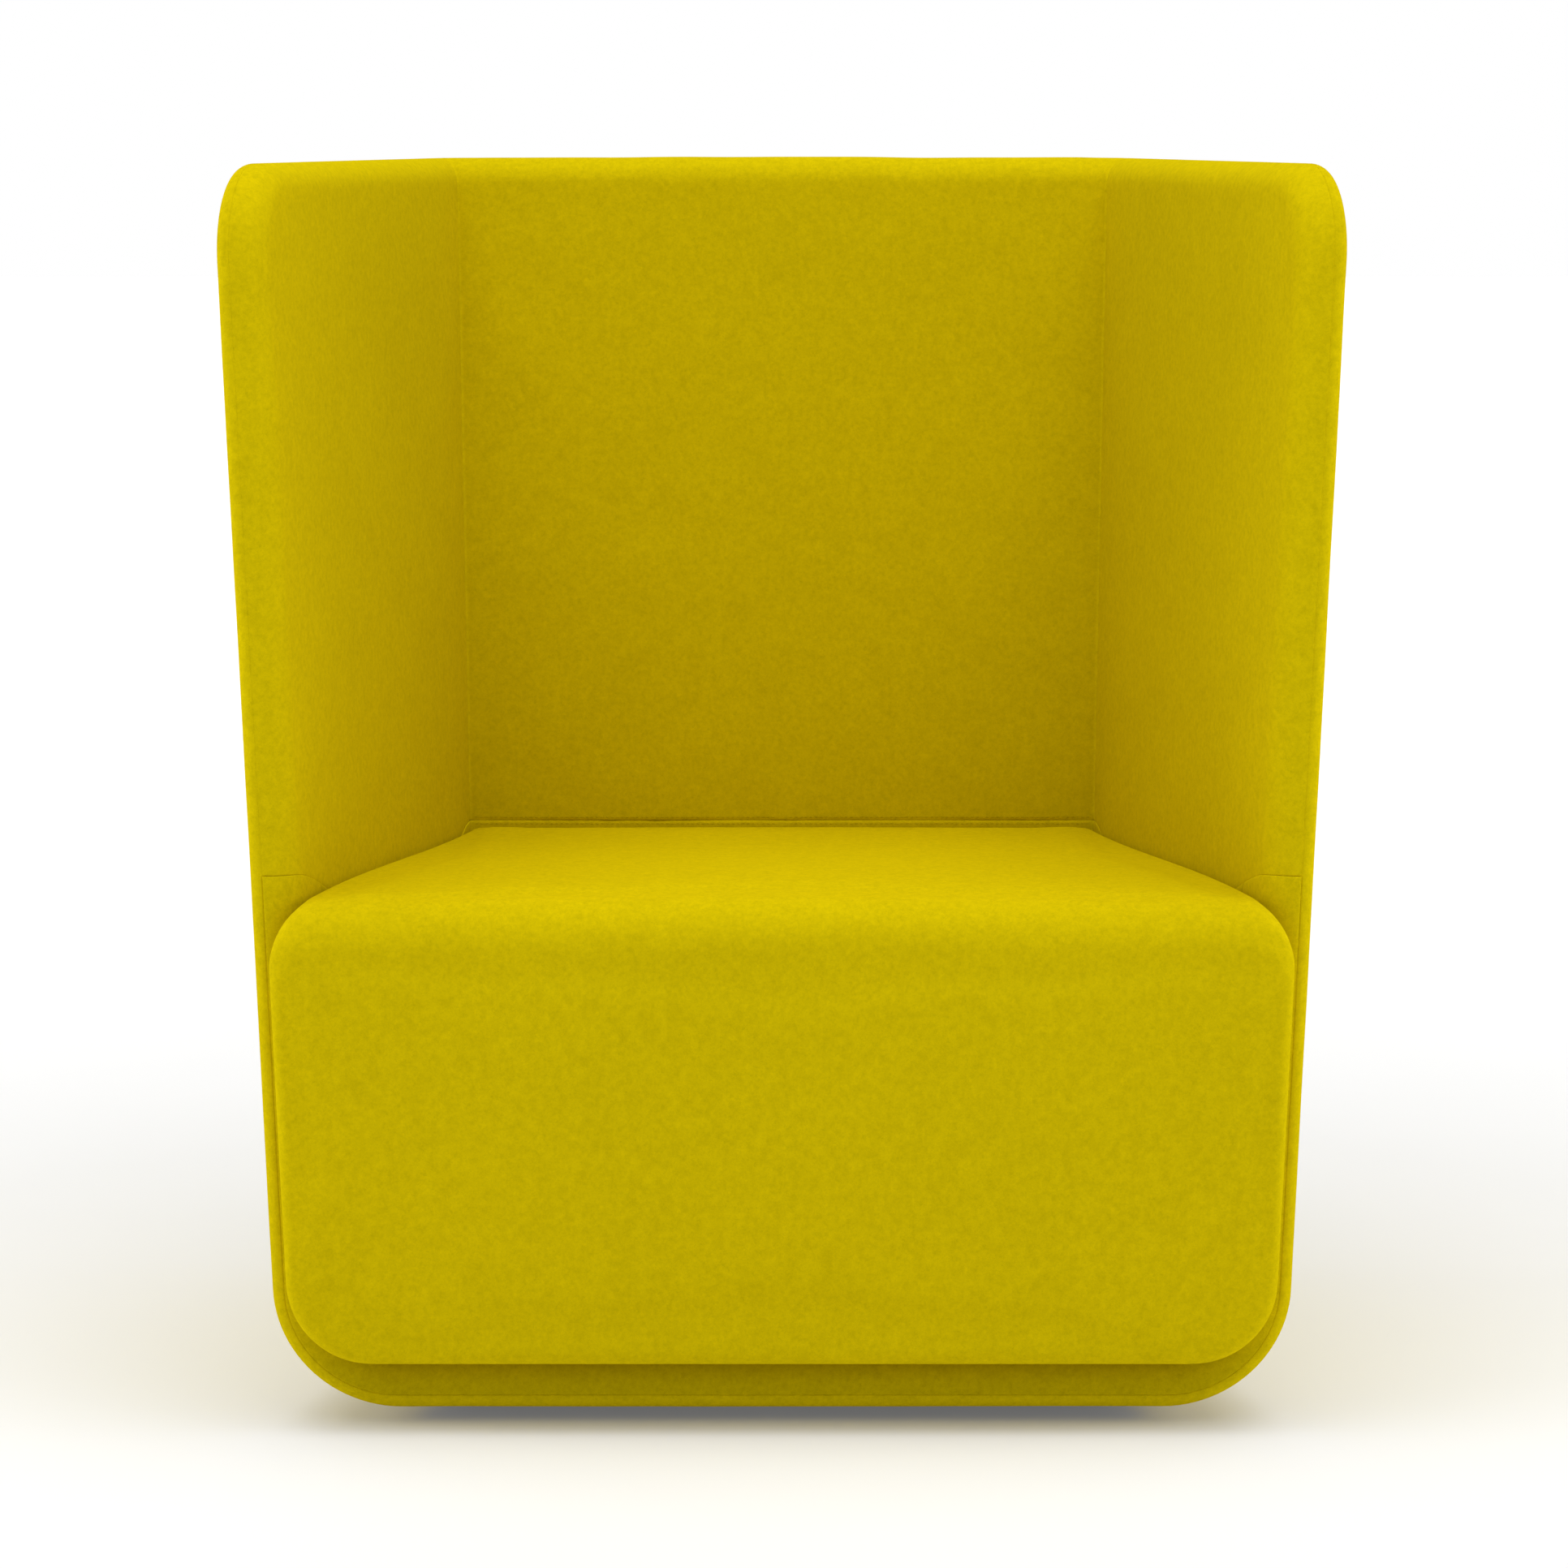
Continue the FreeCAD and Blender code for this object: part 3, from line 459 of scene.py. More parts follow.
facing_foot = floor_height + cavity_radius + 3.0
facing_straight = np.concatenate([seam_height - seam_steps, steps(seam_height - 9.0, facing_foot, 8.0)])
facing_rows = np.concatenate([facing_straight, 0.0 * low_turns])[:, None]
facing_turns = np.concatenate([0.0 * facing_straight, low_turns])[:, None]
facing_bend = (np.arange(len(facing_rows)) >= len(facing_straight))[:, None]
facing_depth = 70.0


def facing_tube(offset, low_level, low_radius):
    """Wall offset and height along the front, from the wing down the rounded corner to the base."""
    n = offset - low_radius * (1.0 - np.cos(facing_turns))
    low = low_level + low_radius * (1.0 - np.sin(facing_turns))
    return np.stack([n, np.where(facing_bend, low, facing_rows + 0.0 * low)], -1)


def facing_grid():
    arc = np.linspace(0.0, quarter, 13)
    inside = steps(rim_inner_radius, facing_depth, 6.0)[1:]
    share = np.array([0.0, 0.05, 0.12, 0.25, 0.5, 0.75])
    offsets = np.concatenate([rim_inner_radius * (1.0 - np.sin(arc)), 0.0 * inside])[None, :]
    seam = facing_tube(np.array([[wing_seam]]), glide_height + rim_outer_radius,
                       bottom_radius - rim_outer_radius)
    round_in = facing_tube(offsets, floor_height - offsets, cavity_radius + offsets)
    flat = seam + share[None, :, None] * (round_in[:, :1] - seam)
    both = np.concatenate([flat, round_in], 1)
    y = shell_front + np.concatenate([0.0 * share, rim_inner_radius * (1.0 - np.cos(arc)), inside])[None, :]
    return wing_point(1, y, dipped(y, both[..., 1]), both[..., 0])


facing_side = facing_grid()
facing = Patches()
facing.mirrored(facing_side)
facing.add(across_chair(facing_side[-1]))
lower_facing = facing.piece("lower_facing_felt", (0.0, 2000.0, 240.0))

# The pull-down strips behind the seat, under the horizontal seam

lining_bottom = 330.0
lining_rows = np.concatenate([seam_height - seam_steps, steps(seam_height - 9.0, lining_bottom, 9.0)])
lining_share = np.concatenate([steps(0.0, 0.985, 0.018), np.array([0.99, 0.995, 1.0])])
lining_front = shell_front + facing_depth
lining_y = lining_front + lining_share[None, :] * (back_inside(lining_rows) - lining_front)[:, None]
lining_side = wing_point(1, lining_y, dipped(lining_y, lining_rows[:, None]), 0.0)
lining = Patches()
lining.mirrored(lining_side)
lining.add(across_chair(lining_side[:, -1]))
back_lining = lining.piece("pull_down_felt", (0.0, 2000.0, 380.0))

# Seams of the tub's cover

def both_sides(*lines):
    return [dense(line) for line in lines] + [dense(line) * mirror for line in lines]


def to_middle(point):
    """A straight line from a point to the middle of the chair."""
    return np.stack([point, point * np.array([0.0, 1.0, 1.0])])


def across_back(z):
    """A level line from a crease to the middle of the back."""
    return to_middle(wing_point(1, back_inside(z), z, 0.0))


rim_seam = both_sides(rim_top, outer_corner[:, 0], outer_front[:, 0], to_middle(outer_front[-1, 0]))
creases = both_sides(inner_wing[:rim_rows, 0])
level_seam = both_sides(across_back(seam_height))
wing_seam_line = both_sides(inner_wing[0], inner_front[0])
rear_seam = both_sides(rear_edge, to_middle(rear_edge[-1]))
tub = [inner_cover, outer_cover, outer_back, lower_facing, back_lining]

# How far the covers swell between seams, over what distance, and the waves of soft and firm padding
swell_height, swell_reach = 1.2, 45.0
soft_wave, firm_wave = 0.45, 0.35
swell(inner_cover, creases + rim_seam, swell_height, swell_reach, soft_wave, 11)
swell(outer_cover, rim_seam + rear_seam, swell_height, swell_reach, firm_wave, 21)
swell(outer_back, rim_seam + rear_seam, swell_height, swell_reach, soft_wave, 31)

# Each kind of seam with the depth and the reach of its groove and its first random seed
grooves = [(rim_seam, 0.6, 3.4, 40), (creases, 0.7, 7.0, 50), (level_seam, 1.3, 3.6, 60),
           (wing_seam_line, 0.45, 3.0, 80), (rear_seam, 1.3, 4.0, 70)]
for number, sheet in enumerate(tub):
    for lines, groove, reach, seed in grooves:
        sew(sheet, lines, groove, reach, seed + number)

# Under the base the cloth lies flat against the frame, and the dust cover over it
pressed = coordinates(outer_cover)
pressed[:, 2] = np.maximum(pressed[:, 2], glide_height * MM)
place(outer_cover, pressed)

# The seat block

seat_turns = np.linspace(0.0, quarter, 11)
top_cells, side_cells = 72, 30
seat_crown = 3.0
seat_flattening = 0.8
seat_rear_radius = 9.0
seat_front_depth = 62.0


def rounding(radius, distance):
    """How far a rounded edge draws a face in at a distance behind the edge."""
    short = np.clip(radius - distance, 0.0, radius)
    return radius - np.sqrt(radius * radius - short * short)


def seat_flare(y):
    """How far the block stands out from the wings' inside faces, past the tub's front edge."""
    wide = (wall - seat_side_reveal) * stretch - seat_flare_reach * splay
    return -seat_gap + (wide + seat_gap) * eased(y, shell_front + seat_flare_reach, 2.0 * seat_flare_reach)


def seat_top(y):
    """The seat's height beside the wings: it slopes up from the back towards the front."""
    slope = eased(y, seat_slope_rear, seat_slope_run)
    return seat_height + seat_rear_rise + (seat_front_rise - seat_rear_rise) * slope


def seat_corner_radius(y):
    """The rounding of the seat's long top edges: close to the wings within, large in front of the rim."""
    growth = eased(y, shell_front + seat_inner_start, seat_inner_start + seat_flare_reach)
    return seat_inner_radius + (seat_top_radius - seat_inner_radius) * growth


def seat_ring(low, high, crown, top_radius):
    """Round a section: the share of the half width, how much the rounding cuts it, and the height."""
    half = len(seat_turns) // 2
    low_cut = seat_bottom_radius * (1.0 - np.cos(seat_turns))
    low_z = low + seat_bottom_radius * (1.0 - np.sin(seat_turns))
    high_cut = top_radius * (1.0 - np.cos(seat_turns))
    high_z = high - top_radius * (1.0 - np.sin(seat_turns))
    line = np.linspace(-1.0, 1.0, top_cells - 2 * half + 1)[1:-1]
    upright = np.linspace(low_z[0], high_z[0], side_cells - 2 * half + 1)[1:-1]
    ones = np.ones(half + 1)
    low_share = np.concatenate([-ones, line, ones])
    low_side_cut = np.concatenate([low_cut[half:], seat_bottom_radius + 0.0 * line, low_cut[half:][::-1]])
    low_side_z = np.concatenate([low_z[half:], low + 0.0 * line, low_z[half:][::-1]])
    right_cut = np.concatenate([low_cut[:half + 1][::-1], 0.0 * upright, high_cut[:half + 1]])
    right_z = np.concatenate([low_z[:half + 1][::-1], upright, high_z[:half + 1]])
    top_cut = np.concatenate([high_cut[half:], top_radius + 0.0 * line, high_cut[half:][::-1]])
    top_z = np.concatenate([high_z[half:], high + crown * (1.0 - line * line), high_z[half:][::-1]])
    side_ones = np.ones(len(right_z) - 1)
    share = np.concatenate([low_share[:-1], side_ones, -low_share[:-1], -side_ones])
    cut = np.concatenate([low_side_cut[:-1], right_cut[:-1], top_cut[:-1], right_cut[:0:-1]])
    z = np.concatenate([low_side_z[:-1], right_z[:-1], top_z[:-1], right_z[:0:-1]])
    return share, cut, z


def seat_section(y, drawn, top_drawn, crown):
    """A closed section of the block; y may differ from point to point."""
    at = float(y(seat_height))
    high = seat_top(at) - top_drawn
    share, cut, z = seat_ring(seat_bottom + drawn, high, crown, seat_corner_radius(at))
    y = y(z)
    x = share * (wing_inside(y, z) + seat_flare(y) - drawn - cut)
    return np.stack([x, y, z], -1)


def filled(ring):
    """A grid over the inside of a closed ring of four sides."""
    low = ring[:top_cells + 1]
    right = ring[top_cells:top_cells + side_cells + 1]
    top = ring[top_cells + side_cells:2 * top_cells + side_cells + 1][::-1]
    left = np.concatenate([ring[2 * top_cells + side_cells:], ring[:1]])[::-1]
    u = np.linspace(0.0, 1.0, top_cells + 1)[None, :, None]
    v = np.linspace(0.0, 1.0, side_cells + 1)[:, None, None]
    sides = (1.0 - v) * low[None] + v * top[None] + (1.0 - u) * left[:, None] + u * right[:, None]
    corners = ((1.0 - u) * (1.0 - v) * low[0] + u * (1.0 - v) * low[-1]
               + (1.0 - u) * v * top[0] + u * v * top[-1])
    return sides - corners


def seat_mesh():
    """The upholstered block as one closed cover."""
    front_turns = np.linspace(0.0, quarter, 9)
    front_steps = np.concatenate([seat_edge_radius * (1.0 - np.cos(front_turns)),
                                  steps(seat_edge_radius, seat_front_depth, 7.0)[1:]])
    rings = [seat_section(lambda z, at=seat_front + behind: at + 0.0 * z, rounding(seat_edge_radius, behind),
                          rounding(seat_top_radius, behind), seat_crown)
             for behind in front_steps]
    start = seat_front + front_steps[-1]

    def between(z, left):
        """From the end of the front part to the leaning rear face, of which a share is left."""
        rear = back_inside(z) - seat_gap
        return rear - left * (rear - start)

    run = back_foot - seat_gap - start
    rear_turns = np.linspace(0.0, quarter, 7)
    rear_steps = seat_rear_radius * (1.0 - np.sin(rear_turns)) / run
    for before in np.concatenate([steps(1.0, 2.2 * seat_rear_radius / run, 0.022)[1:], rear_steps]):
        drawn = rounding(seat_rear_radius, before * run)
        crown = seat_crown * (1.0 - seat_flattening * (1.0 - before) ** 3)
        rings.append(seat_section(lambda z, left=before: between(z, left), drawn, drawn, crown))
    band = np.stack(rings)
    seat = Patches()
    seat.add(np.concatenate([band, band[:, :1]], 1))
    seat.add(filled(band[0]))
    seat.add(filled(band[-1]))
    return seat.piece("seat_block_felt", (0.0, -60.0, 240.0))


def inflate(piece, pressure, frames):
    """Blows a closed cover up over its stuffing, as cloth under pressure, and returns the moved points."""
    cloth = piece.modifiers.new("stuffing", "CLOTH")
    settings = cloth.settings
    settings.quality = 6
    settings.mass = 0.4
    settings.tension_stiffness = 25.0
    settings.compression_stiffness = 25.0
    settings.shear_stiffness = 12.0
    settings.bending_stiffness = 3.0
    settings.air_damping = 2.0
    settings.use_pressure = True
    settings.uniform_pressure_force = pressure
    settings.effector_weights.gravity = 0.0
    cloth.collision_settings.use_collision = False
    cloth.collision_settings.use_self_collision = False
    cloth.point_cache.frame_start = 1
    cloth.point_cache.frame_end = frames
    scene = bpy.context.scene
    for number in range(1, frames + 1):
        scene.frame_set(number)
    evaluated = piece.evaluated_get(bpy.context.evaluated_depsgraph_get())
    moved = np.empty(len(evaluated.data.vertices) * 3)
    evaluated.data.vertices.foreach_get("co", moved)
    piece.modifiers.remove(cloth)
    scene.frame_set(1)
    return moved.reshape(-1, 3)


# The stuffing: its pressure, how long it is blown up, and how much of the movement is kept, in millimetres,
# where the cover is free and where the tub holds it
stuffing_pressure, stuffing_frames = 4.0, 20
kept_share, most_inward, most_free, most_held = 0.35, -0.6, 2.5, 0.4
free_slope, free_reach = 0.6, 2.0

seat_block = seat_mesh()
rest = coordinates(seat_block)
outward = normals(seat_block)
blown = inflate(seat_block, stuffing_pressure, stuffing_frames)
lift = np.einsum("ij,ij->i", blown - rest, outward) / MM
free = (rest[:, 1] < (shell_front - free_reach) * MM) | (outward[:, 2] > free_slope)
lift = np.clip(kept_share * lift, most_inward, np.where(free, most_free, most_held))
place(seat_block, rest + outward * (lift * MM)[:, None])

# Stitches beside the horizontal seam

stitch_length, stitch_pitch, stitch_width, stitch_offset = 3.4, 4.6, 0.75, 3.0
stitch_flatness, stitch_sides = 0.7, 6


def stitch_row(line):
    """Centres and directions of stitches along a line, in millimetres."""
    line = np.asarray(line, float)
    length = np.concatenate([[0.0], np.cumsum(np.linalg.norm(np.diff(line, axis=0), axis=1))])
    at = np.arange(stitch_pitch, length[-1] - stitch_pitch, stitch_pitch)
    start, end = (np.stack([np.interp(at + shift, length, line[:, axis]) for axis in range(3)], -1)
                  for shift in (-0.5, 0.5))
    way = end - start
    return (start + end) / 2.0, way / np.linalg.norm(way, axis=1)[:, None]


def stitches(name, rows):
    """Short raised threads that dip into the cloth at both ends; a row is a line and its cloth."""
    along = np.array([-0.5, -0.36, 0.0, 0.36, 0.5])
    swelling = np.array([0.45, 0.9, 1.0, 0.9, 0.45])
    sink = np.array([-0.55, -0.1, 0.15, -0.1, -0.55])
    round_turns = np.arange(stitch_sides) * 2.0 * math.pi / stitch_sides
    thread = Patches()
    for line, cloth in rows:
        for centre, way in zip(*stitch_row(line)):
            _, at, normal, _ = cloth.closest_point_on_mesh(Vector(centre * MM))
            at, normal = np.array(at) / MM, np.array(normal)
            beside = np.cross(way, normal)
            spine = at + along[:, None] * stitch_length * way + sink[:, None] * normal
            ring = np.cos(round_turns)[:, None] * beside
            ring = ring + stitch_flatness * np.sin(round_turns)[:, None] * normal
            tube = spine[:, None] + 0.5 * stitch_width * swelling[:, None, None] * ring[None]
            thread.add(np.concatenate([tube, tube[:, :1]], 1))
    return thread.piece(name, (0.0, 2000.0, 400.0))


def stitch_lines(z, cloth):
    return [(across_back(z), cloth), (across_back(z) * mirror, cloth)]


seam_thread = stitches("seam_thread", stitch_lines(seam_height + stitch_offset, inner_cover)
                       + stitch_lines(seam_height - stitch_offset, back_lining))

# The dust cover under the base

dust_front, dust_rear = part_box("dust_cover")[0][1] / MM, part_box("dust_cover")[1][1] / MM
dust_points = np.array([vert.co for vert in frame["nodes"]["dust_cover"].data.vertices]) / MM
dust_half_widths = [np.abs(dust_points[np.abs(dust_points[:, 1] - end) < 1.0, 0]).max()
                    for end in (dust_front, dust_rear)]
dust_measure = 500.0
dust_drop, dust_sag, dust_sag_reach = 0.6, 0.35, 60.0
pucker_height, pucker_pitch, pucker_reach, pucker_start = 0.22, 13.0, 22.0, 6.0


def dust_sheet():
    """A thin cloth stapled under the base, hanging very slightly between its edges."""
    share = steps(0.0, 1.0, 0.02)
    y = dust_front + share * (dust_rear - dust_front)
    half = np.interp(y, [dust_front, dust_rear], dust_half_widths)
    x = half[:, None] * np.linspace(-1.0, 1.0, 61)[None, :]
    edge = np.minimum(np.minimum(share, 1.0 - share)[:, None] * dust_measure, half[:, None] - np.abs(x))
    edge = np.clip(edge, 0.0, None)
    sag = dust_sag * (1.0 - np.exp(-edge / dust_sag_reach))
    pucker = pucker_height * np.sin(x / pucker_pitch) * np.exp(-edge / pucker_reach)
    z = glide_height - dust_drop - sag + pucker * np.clip(edge / pucker_start, 0.0, 1.0)
    sheet = Patches()
    sheet.add(np.stack([x, y[:, None] + 0.0 * x, z], -1))
    return sheet.piece("dust_cover_cloth", (0.0, 0.0, 500.0))


dust_cover = dust_sheet()

# Materials

def new_material(name):
    material = bpy.data.materials.new(name)
    material.use_nodes = True
    tree = material.node_tree
    coordinate = tree.nodes.new("ShaderNodeTexCoord")
    return material, tree, tree.nodes["Principled BSDF"], coordinate.outputs["Object"]


def noise(tree, vector, scale, detail=2.0, roughness=0.5, distortion=0.0, stretched=(1.0, 1.0, 1.0)):
    mapping = tree.nodes.new("ShaderNodeMapping")
    mapping.inputs["Scale"].default_value = stretched
    tree.links.new(vector, mapping.inputs["Vector"])
    node = tree.nodes.new("ShaderNodeTexNoise")
    node.inputs["Scale"].default_value = scale
    node.inputs["Detail"].default_value = detail
    node.inputs["Roughness"].default_value = roughness
    node.inputs["Distortion"].default_value = distortion
    tree.links.new(mapping.outputs["Vector"], node.inputs["Vector"])
    return node.outputs["Fac"]


def ramp(tree, factor, stops):
    node = tree.nodes.new("ShaderNodeValToRGB")
    elements = node.color_ramp.elements
    while len(elements) < len(stops):
        elements.new(1.0)
    for element, (position, colour) in zip(elements, stops):
        element.position = position
        element.color = (*colour, 1.0)
    tree.links.new(factor, node.inputs["Fac"])
    return node.outputs["Color"]


def grey(value):
    return (value, value, value)


def mix(tree, first, second, blend):
    """Two colours mixed in full; sockets 6, 7 and 2 are the node's colour ones."""
    node = tree.nodes.new("ShaderNodeMix")
    node.data_type = "RGBA"
    node.blend_type = blend
    node.inputs[0].default_value = 1.0
    tree.links.new(first, node.inputs[6])
    tree.links.new(second, node.inputs[7])
    return node.outputs[2]


def bump(tree, shader, *heights):
    """Chains bumps, each a height socket, a distance in metres and a strength, into the shader's normal."""
    normal = None
    for socket, distance, strength in heights:
        node = tree.nodes.new("ShaderNodeBump")
        node.inputs["Distance"].default_value = distance
        node.inputs["Strength"].default_value = strength
        tree.links.new(socket, node.inputs["Height"])
        if normal is not None:
            tree.links.new(normal, node.inputs["Normal"])
        normal = node.outputs["Normal"]
    tree.links.new(normal, shader.inputs["Normal"])


def tinted(colour, factor):
    return tuple(channel * factor for channel in colour)


def felt_material(name, colour, contrast, painted_shade_share=1.0):
    """Milled wool: mottled yarn tones, curly fibres a millimetre long, faint clouding and a soft nap.

    Close to the floor the tone falls to a given share, painted shade for the base in the seat's shadow.
    """
    material, tree, shader, vector = new_material(name)
    mottle = noise(tree, vector, scale=200.0, detail=3.0, roughness=0.6)
    fibres = noise(tree, vector, scale=520.0, detail=5.0, roughness=0.68, distortion=1.6)
    patches = noise(tree, vector, scale=75.0, distortion=0.6)
    cloud = noise(tree, vector, scale=6.0)
    tone = ramp(tree, mottle, [(0.30, tinted(colour, 1.0 - contrast)), (0.5, colour),
                               (0.70, tinted(colour, 1.0 + 0.8 * contrast))])
    fleck = ramp(tree, fibres, [(0.30, grey(1.0 - 1.5 * contrast)), (0.5, grey(1.0)),
                                (0.72, grey(1.0 + contrast))])
    patching = ramp(tree, patches, [(0.3, grey(1.0 - 0.35 * contrast)), (0.7, grey(1.0 + 0.35 * contrast))])
    clouding = ramp(tree, cloud, [(0.3, grey(0.985)), (0.7, grey(1.012))])
    yarn = mix(tree, tone, fleck, "MULTIPLY")
    shown = mix(tree, yarn, mix(tree, patching, clouding, "MULTIPLY"), "MULTIPLY")
    # Painted shade: the colour darkens below 10 cm, standing in for the shadow under the seat's overhang
    if painted_shade_share < 1.0:
        axes = tree.nodes.new("ShaderNodeSeparateXYZ")
        tree.links.new(vector, axes.inputs["Vector"])
        painted_shade_ramp = ramp(tree, axes.outputs["Z"], [(0.05, grey(painted_shade_share)), (0.1, grey(1.0))])
        shown = mix(tree, shown, painted_shade_ramp, "MULTIPLY")
    tree.links.new(shown, shader.inputs["Base Color"])
    shader.inputs["Roughness"].default_value = 0.95
    shader.inputs["Specular IOR Level"].default_value = 0.0
    shader.inputs["Sheen Weight"].default_value = 0.1
    shader.inputs["Sheen Roughness"].default_value = 0.4
    shader.inputs["Sheen Tint"].default_value = (0.95, 0.80, 0.03, 1.0)
    bump(tree, shader, (mottle, 0.0005, 0.3), (fibres, 0.0004, 0.5))
    return material


def wood_material(name, light, dark, grain, stretched):
    """Wood with grain along its length, darker pores and a sanded face."""
    material, tree, shader, vector = new_material(name)
    figure = noise(tree, vector, grain, detail=6.0, roughness=0.6, distortion=0.8, stretched=stretched)
    pores = noise(tree, vector, 9.0 * grain, detail=3.0, roughness=0.6, stretched=stretched)
    tone = ramp(tree, figure, [(0.28, dark), (0.5, light), (0.75, tinted(light, 1.12))])
    pore = ramp(tree, pores, [(0.30, grey(0.72)), (0.46, grey(1.0))])
    tree.links.new(mix(tree, tone, pore, "MULTIPLY"), shader.inputs["Base Color"])
    tree.links.new(ramp(tree, figure, [(0.3, grey(0.72)), (0.7, grey(0.56))]), shader.inputs["Roughness"])
    bump(tree, shader, (pores, 0.0003, 0.4))
    return material


def metal_material(name, light, dark, smooth):
    """Plated or bare steel with a mottled finish and fine drawing marks."""
    material, tree, shader, vector = new_material(name)
    mottle = noise(tree, vector, scale=180.0, detail=4.0, roughness=0.6)
    marks = noise(tree, vector, scale=900.0, stretched=(1.0, 0.12, 1.0))
    tree.links.new(ramp(tree, mottle, [(0.3, dark), (0.7, light)]), shader.inputs["Base Color"])
    polish = ramp(tree, marks, [(0.3, grey(smooth)), (0.7, grey(smooth + 0.2))])
    tree.links.new(polish, shader.inputs["Roughness"])
    shader.inputs["Metallic"].default_value = 1.0
    bump(tree, shader, (marks, 0.0001, 0.3))
    return material


def plastic_material(name):
    """Black moulded plastic with a spark-eroded grain and scuffed edges."""
    material, tree, shader, vector = new_material(name)
    grain = noise(tree, vector, scale=1400.0)
    scuffs = noise(tree, vector, scale=90.0, detail=5.0, roughness=0.7, distortion=0.6)
    tree.links.new(ramp(tree, scuffs, [(0.45, (0.018, 0.018, 0.019)), (0.75, (0.05, 0.05, 0.052))]),
                   shader.inputs["Base Color"])
    tree.links.new(ramp(tree, scuffs, [(0.4, grey(0.45)), (0.8, grey(0.7))]), shader.inputs["Roughness"])
    bump(tree, shader, (grain, 0.0001, 0.5))
    return material


def woven_material(name, light, dark):
    """Thin spun-bonded dust cloth with a fine square weave."""
    material, tree, shader, vector = new_material(name)
    warp = noise(tree, vector, scale=700.0, stretched=(1.0, 0.08, 1.0))
    weft = noise(tree, vector, scale=700.0, stretched=(0.08, 1.0, 1.0))
    weave = mix(tree, warp, weft, "LIGHTEN")
    tree.links.new(ramp(tree, weave, [(0.4, dark), (0.7, light)]), shader.inputs["Base Color"])
    shader.inputs["Roughness"].default_value = 0.9
    shader.inputs["Sheen Weight"].default_value = 0.1
    bump(tree, shader, (weave, 0.0003, 0.5))
    return material


felt_colour = (0.60, 0.464, 0.0014)
felt = felt_material("yellow_felt", felt_colour, contrast=0.088)
# The base felt carries painted shade close to the floor
shaded_base_felt = felt_material("yellow_felt_shaded_base", felt_colour, contrast=0.1, painted_shade_share=0.84)
thread = felt_material("yellow_thread", tinted(felt_colour, 0.82), contrast=0.1)
dust_cloth = woven_material("dust_cloth", (0.03, 0.03, 0.032), (0.012, 0.012, 0.013))
cad_materials = {
    "plywood": wood_material("birch_plywood", (0.62, 0.45, 0.27), (0.46, 0.30, 0.16), 14.0, (1.0, 1.0, 0.12)),
    "timber": wood_material("beech_timber", (0.56, 0.37, 0.22), (0.38, 0.22, 0.11), 22.0, (0.15, 1.0, 1.0)),
    "hardboard": wood_material("brown_hardboard", (0.25, 0.15, 0.08), (0.15, 0.085, 0.045), 160.0,
                               (1.0, 1.0, 1.0)),
    "spring_steel": metal_material("oiled_spring_steel", (0.20, 0.20, 0.21), (0.11, 0.11, 0.12), 0.3),
    "zinc_steel": metal_material("zinc_plated_steel", (0.72, 0.71, 0.68), (0.52, 0.52, 0.50), 0.25),
    "glide_plastic": plastic_material("black_plastic"),
}


def dress(piece, material, slot, *nodes):
    piece.data.materials.clear()
    piece.data.materials.append(material)
    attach(piece, "root")
    if nodes:
        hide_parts(*nodes)


dress(inner_cover, felt, "wool_felt", "inner_cover", "back_pad", "left_wing_pad", "right_wing_pad")
dress(outer_cover, felt, "wool_felt", "outer_cover", "left_corner_pad", "right_corner_pad", "base_rear_pad")
dress(outer_back, felt, "wool_felt", "outer_back_wadding")
dress(lower_facing, shaded_base_felt, "wool_felt", "lower_facing", "base_front_pad")
dress(back_lining, felt, "wool_felt", "lower_facing")
dress(seat_block, felt, "wool_felt", "seat_cover", "seat_foam", "seat_front_pad", "seat_left_pad",
      "seat_right_pad", "spring_felt")
dress(seam_thread, thread, "wool_felt")
dress(dust_cover, dust_cloth, "dust_cloth", "dust_cover")
for sheet in tub:
    thicken(sheet)
smooth = seat_block.modifiers.new("smooth", "SUBSURF")
smooth.levels = smooth.render_levels = 1

for entry in frame["record"]["subparts"]:
    material = cad_materials.get(entry["material_slot"])
    if material is not None:
        mesh = frame["nodes"][entry["node"]].data
        mesh.materials.clear()
        mesh.materials.append(material)

# Floor, light and camera

# The floor glows like a lit studio sweep, less near the chair, and fades in within this radius in metres
floor_glow_radius = 6.67
floor_half = 30.0

floor_mesh = bpy.data.meshes.new("floor")
floor_corners = [(x * floor_half, y * floor_half, 0.0) for x, y in ((-1, -1), (1, -1), (1, 1), (-1, 1))]
floor_mesh.from_pydata(floor_corners, [], [(0, 1, 2, 3)])
floor = bpy.data.objects.new("floor", floor_mesh)
bpy.context.scene.collection.objects.link(floor)
floor_material, floor_tree, floor_shader, floor_vector = new_material("pale_floor")
floor_tone = noise(floor_tree, floor_vector, scale=1.5, detail=3.0)
floor_colour = ramp(floor_tree, floor_tone, [(0.3, grey(0.735)), (0.7, grey(0.75))])
floor_tree.links.new(floor_colour, floor_shader.inputs["Base Color"])
floor_shader.inputs["Roughness"].default_value = 0.9
floor_shader.inputs["Specular IOR Level"].default_value = 0.1
floor_reach = floor_tree.nodes.new("ShaderNodeMapping")
floor_reach.inputs["Scale"].default_value = grey(1.0 / floor_glow_radius)
floor_tree.links.new(floor_vector, floor_reach.inputs["Vector"])
floor_fade = floor_tree.nodes.new("ShaderNodeTexGradient")
floor_fade.gradient_type = "SPHERICAL"
floor_tree.links.new(floor_reach.outputs["Vector"], floor_fade.inputs["Vector"])
floor_glow = ramp(floor_tree, floor_fade.outputs["Fac"],
                  [(0.4, grey(0.45)), (0.625, grey(0.34)), (0.85, grey(0.12))])
floor_tree.links.new(floor_glow, floor_shader.inputs["Emission Color"])
floor_shader.inputs["Emission Strength"].default_value = 1.0
floor_mesh.materials.append(floor_material)

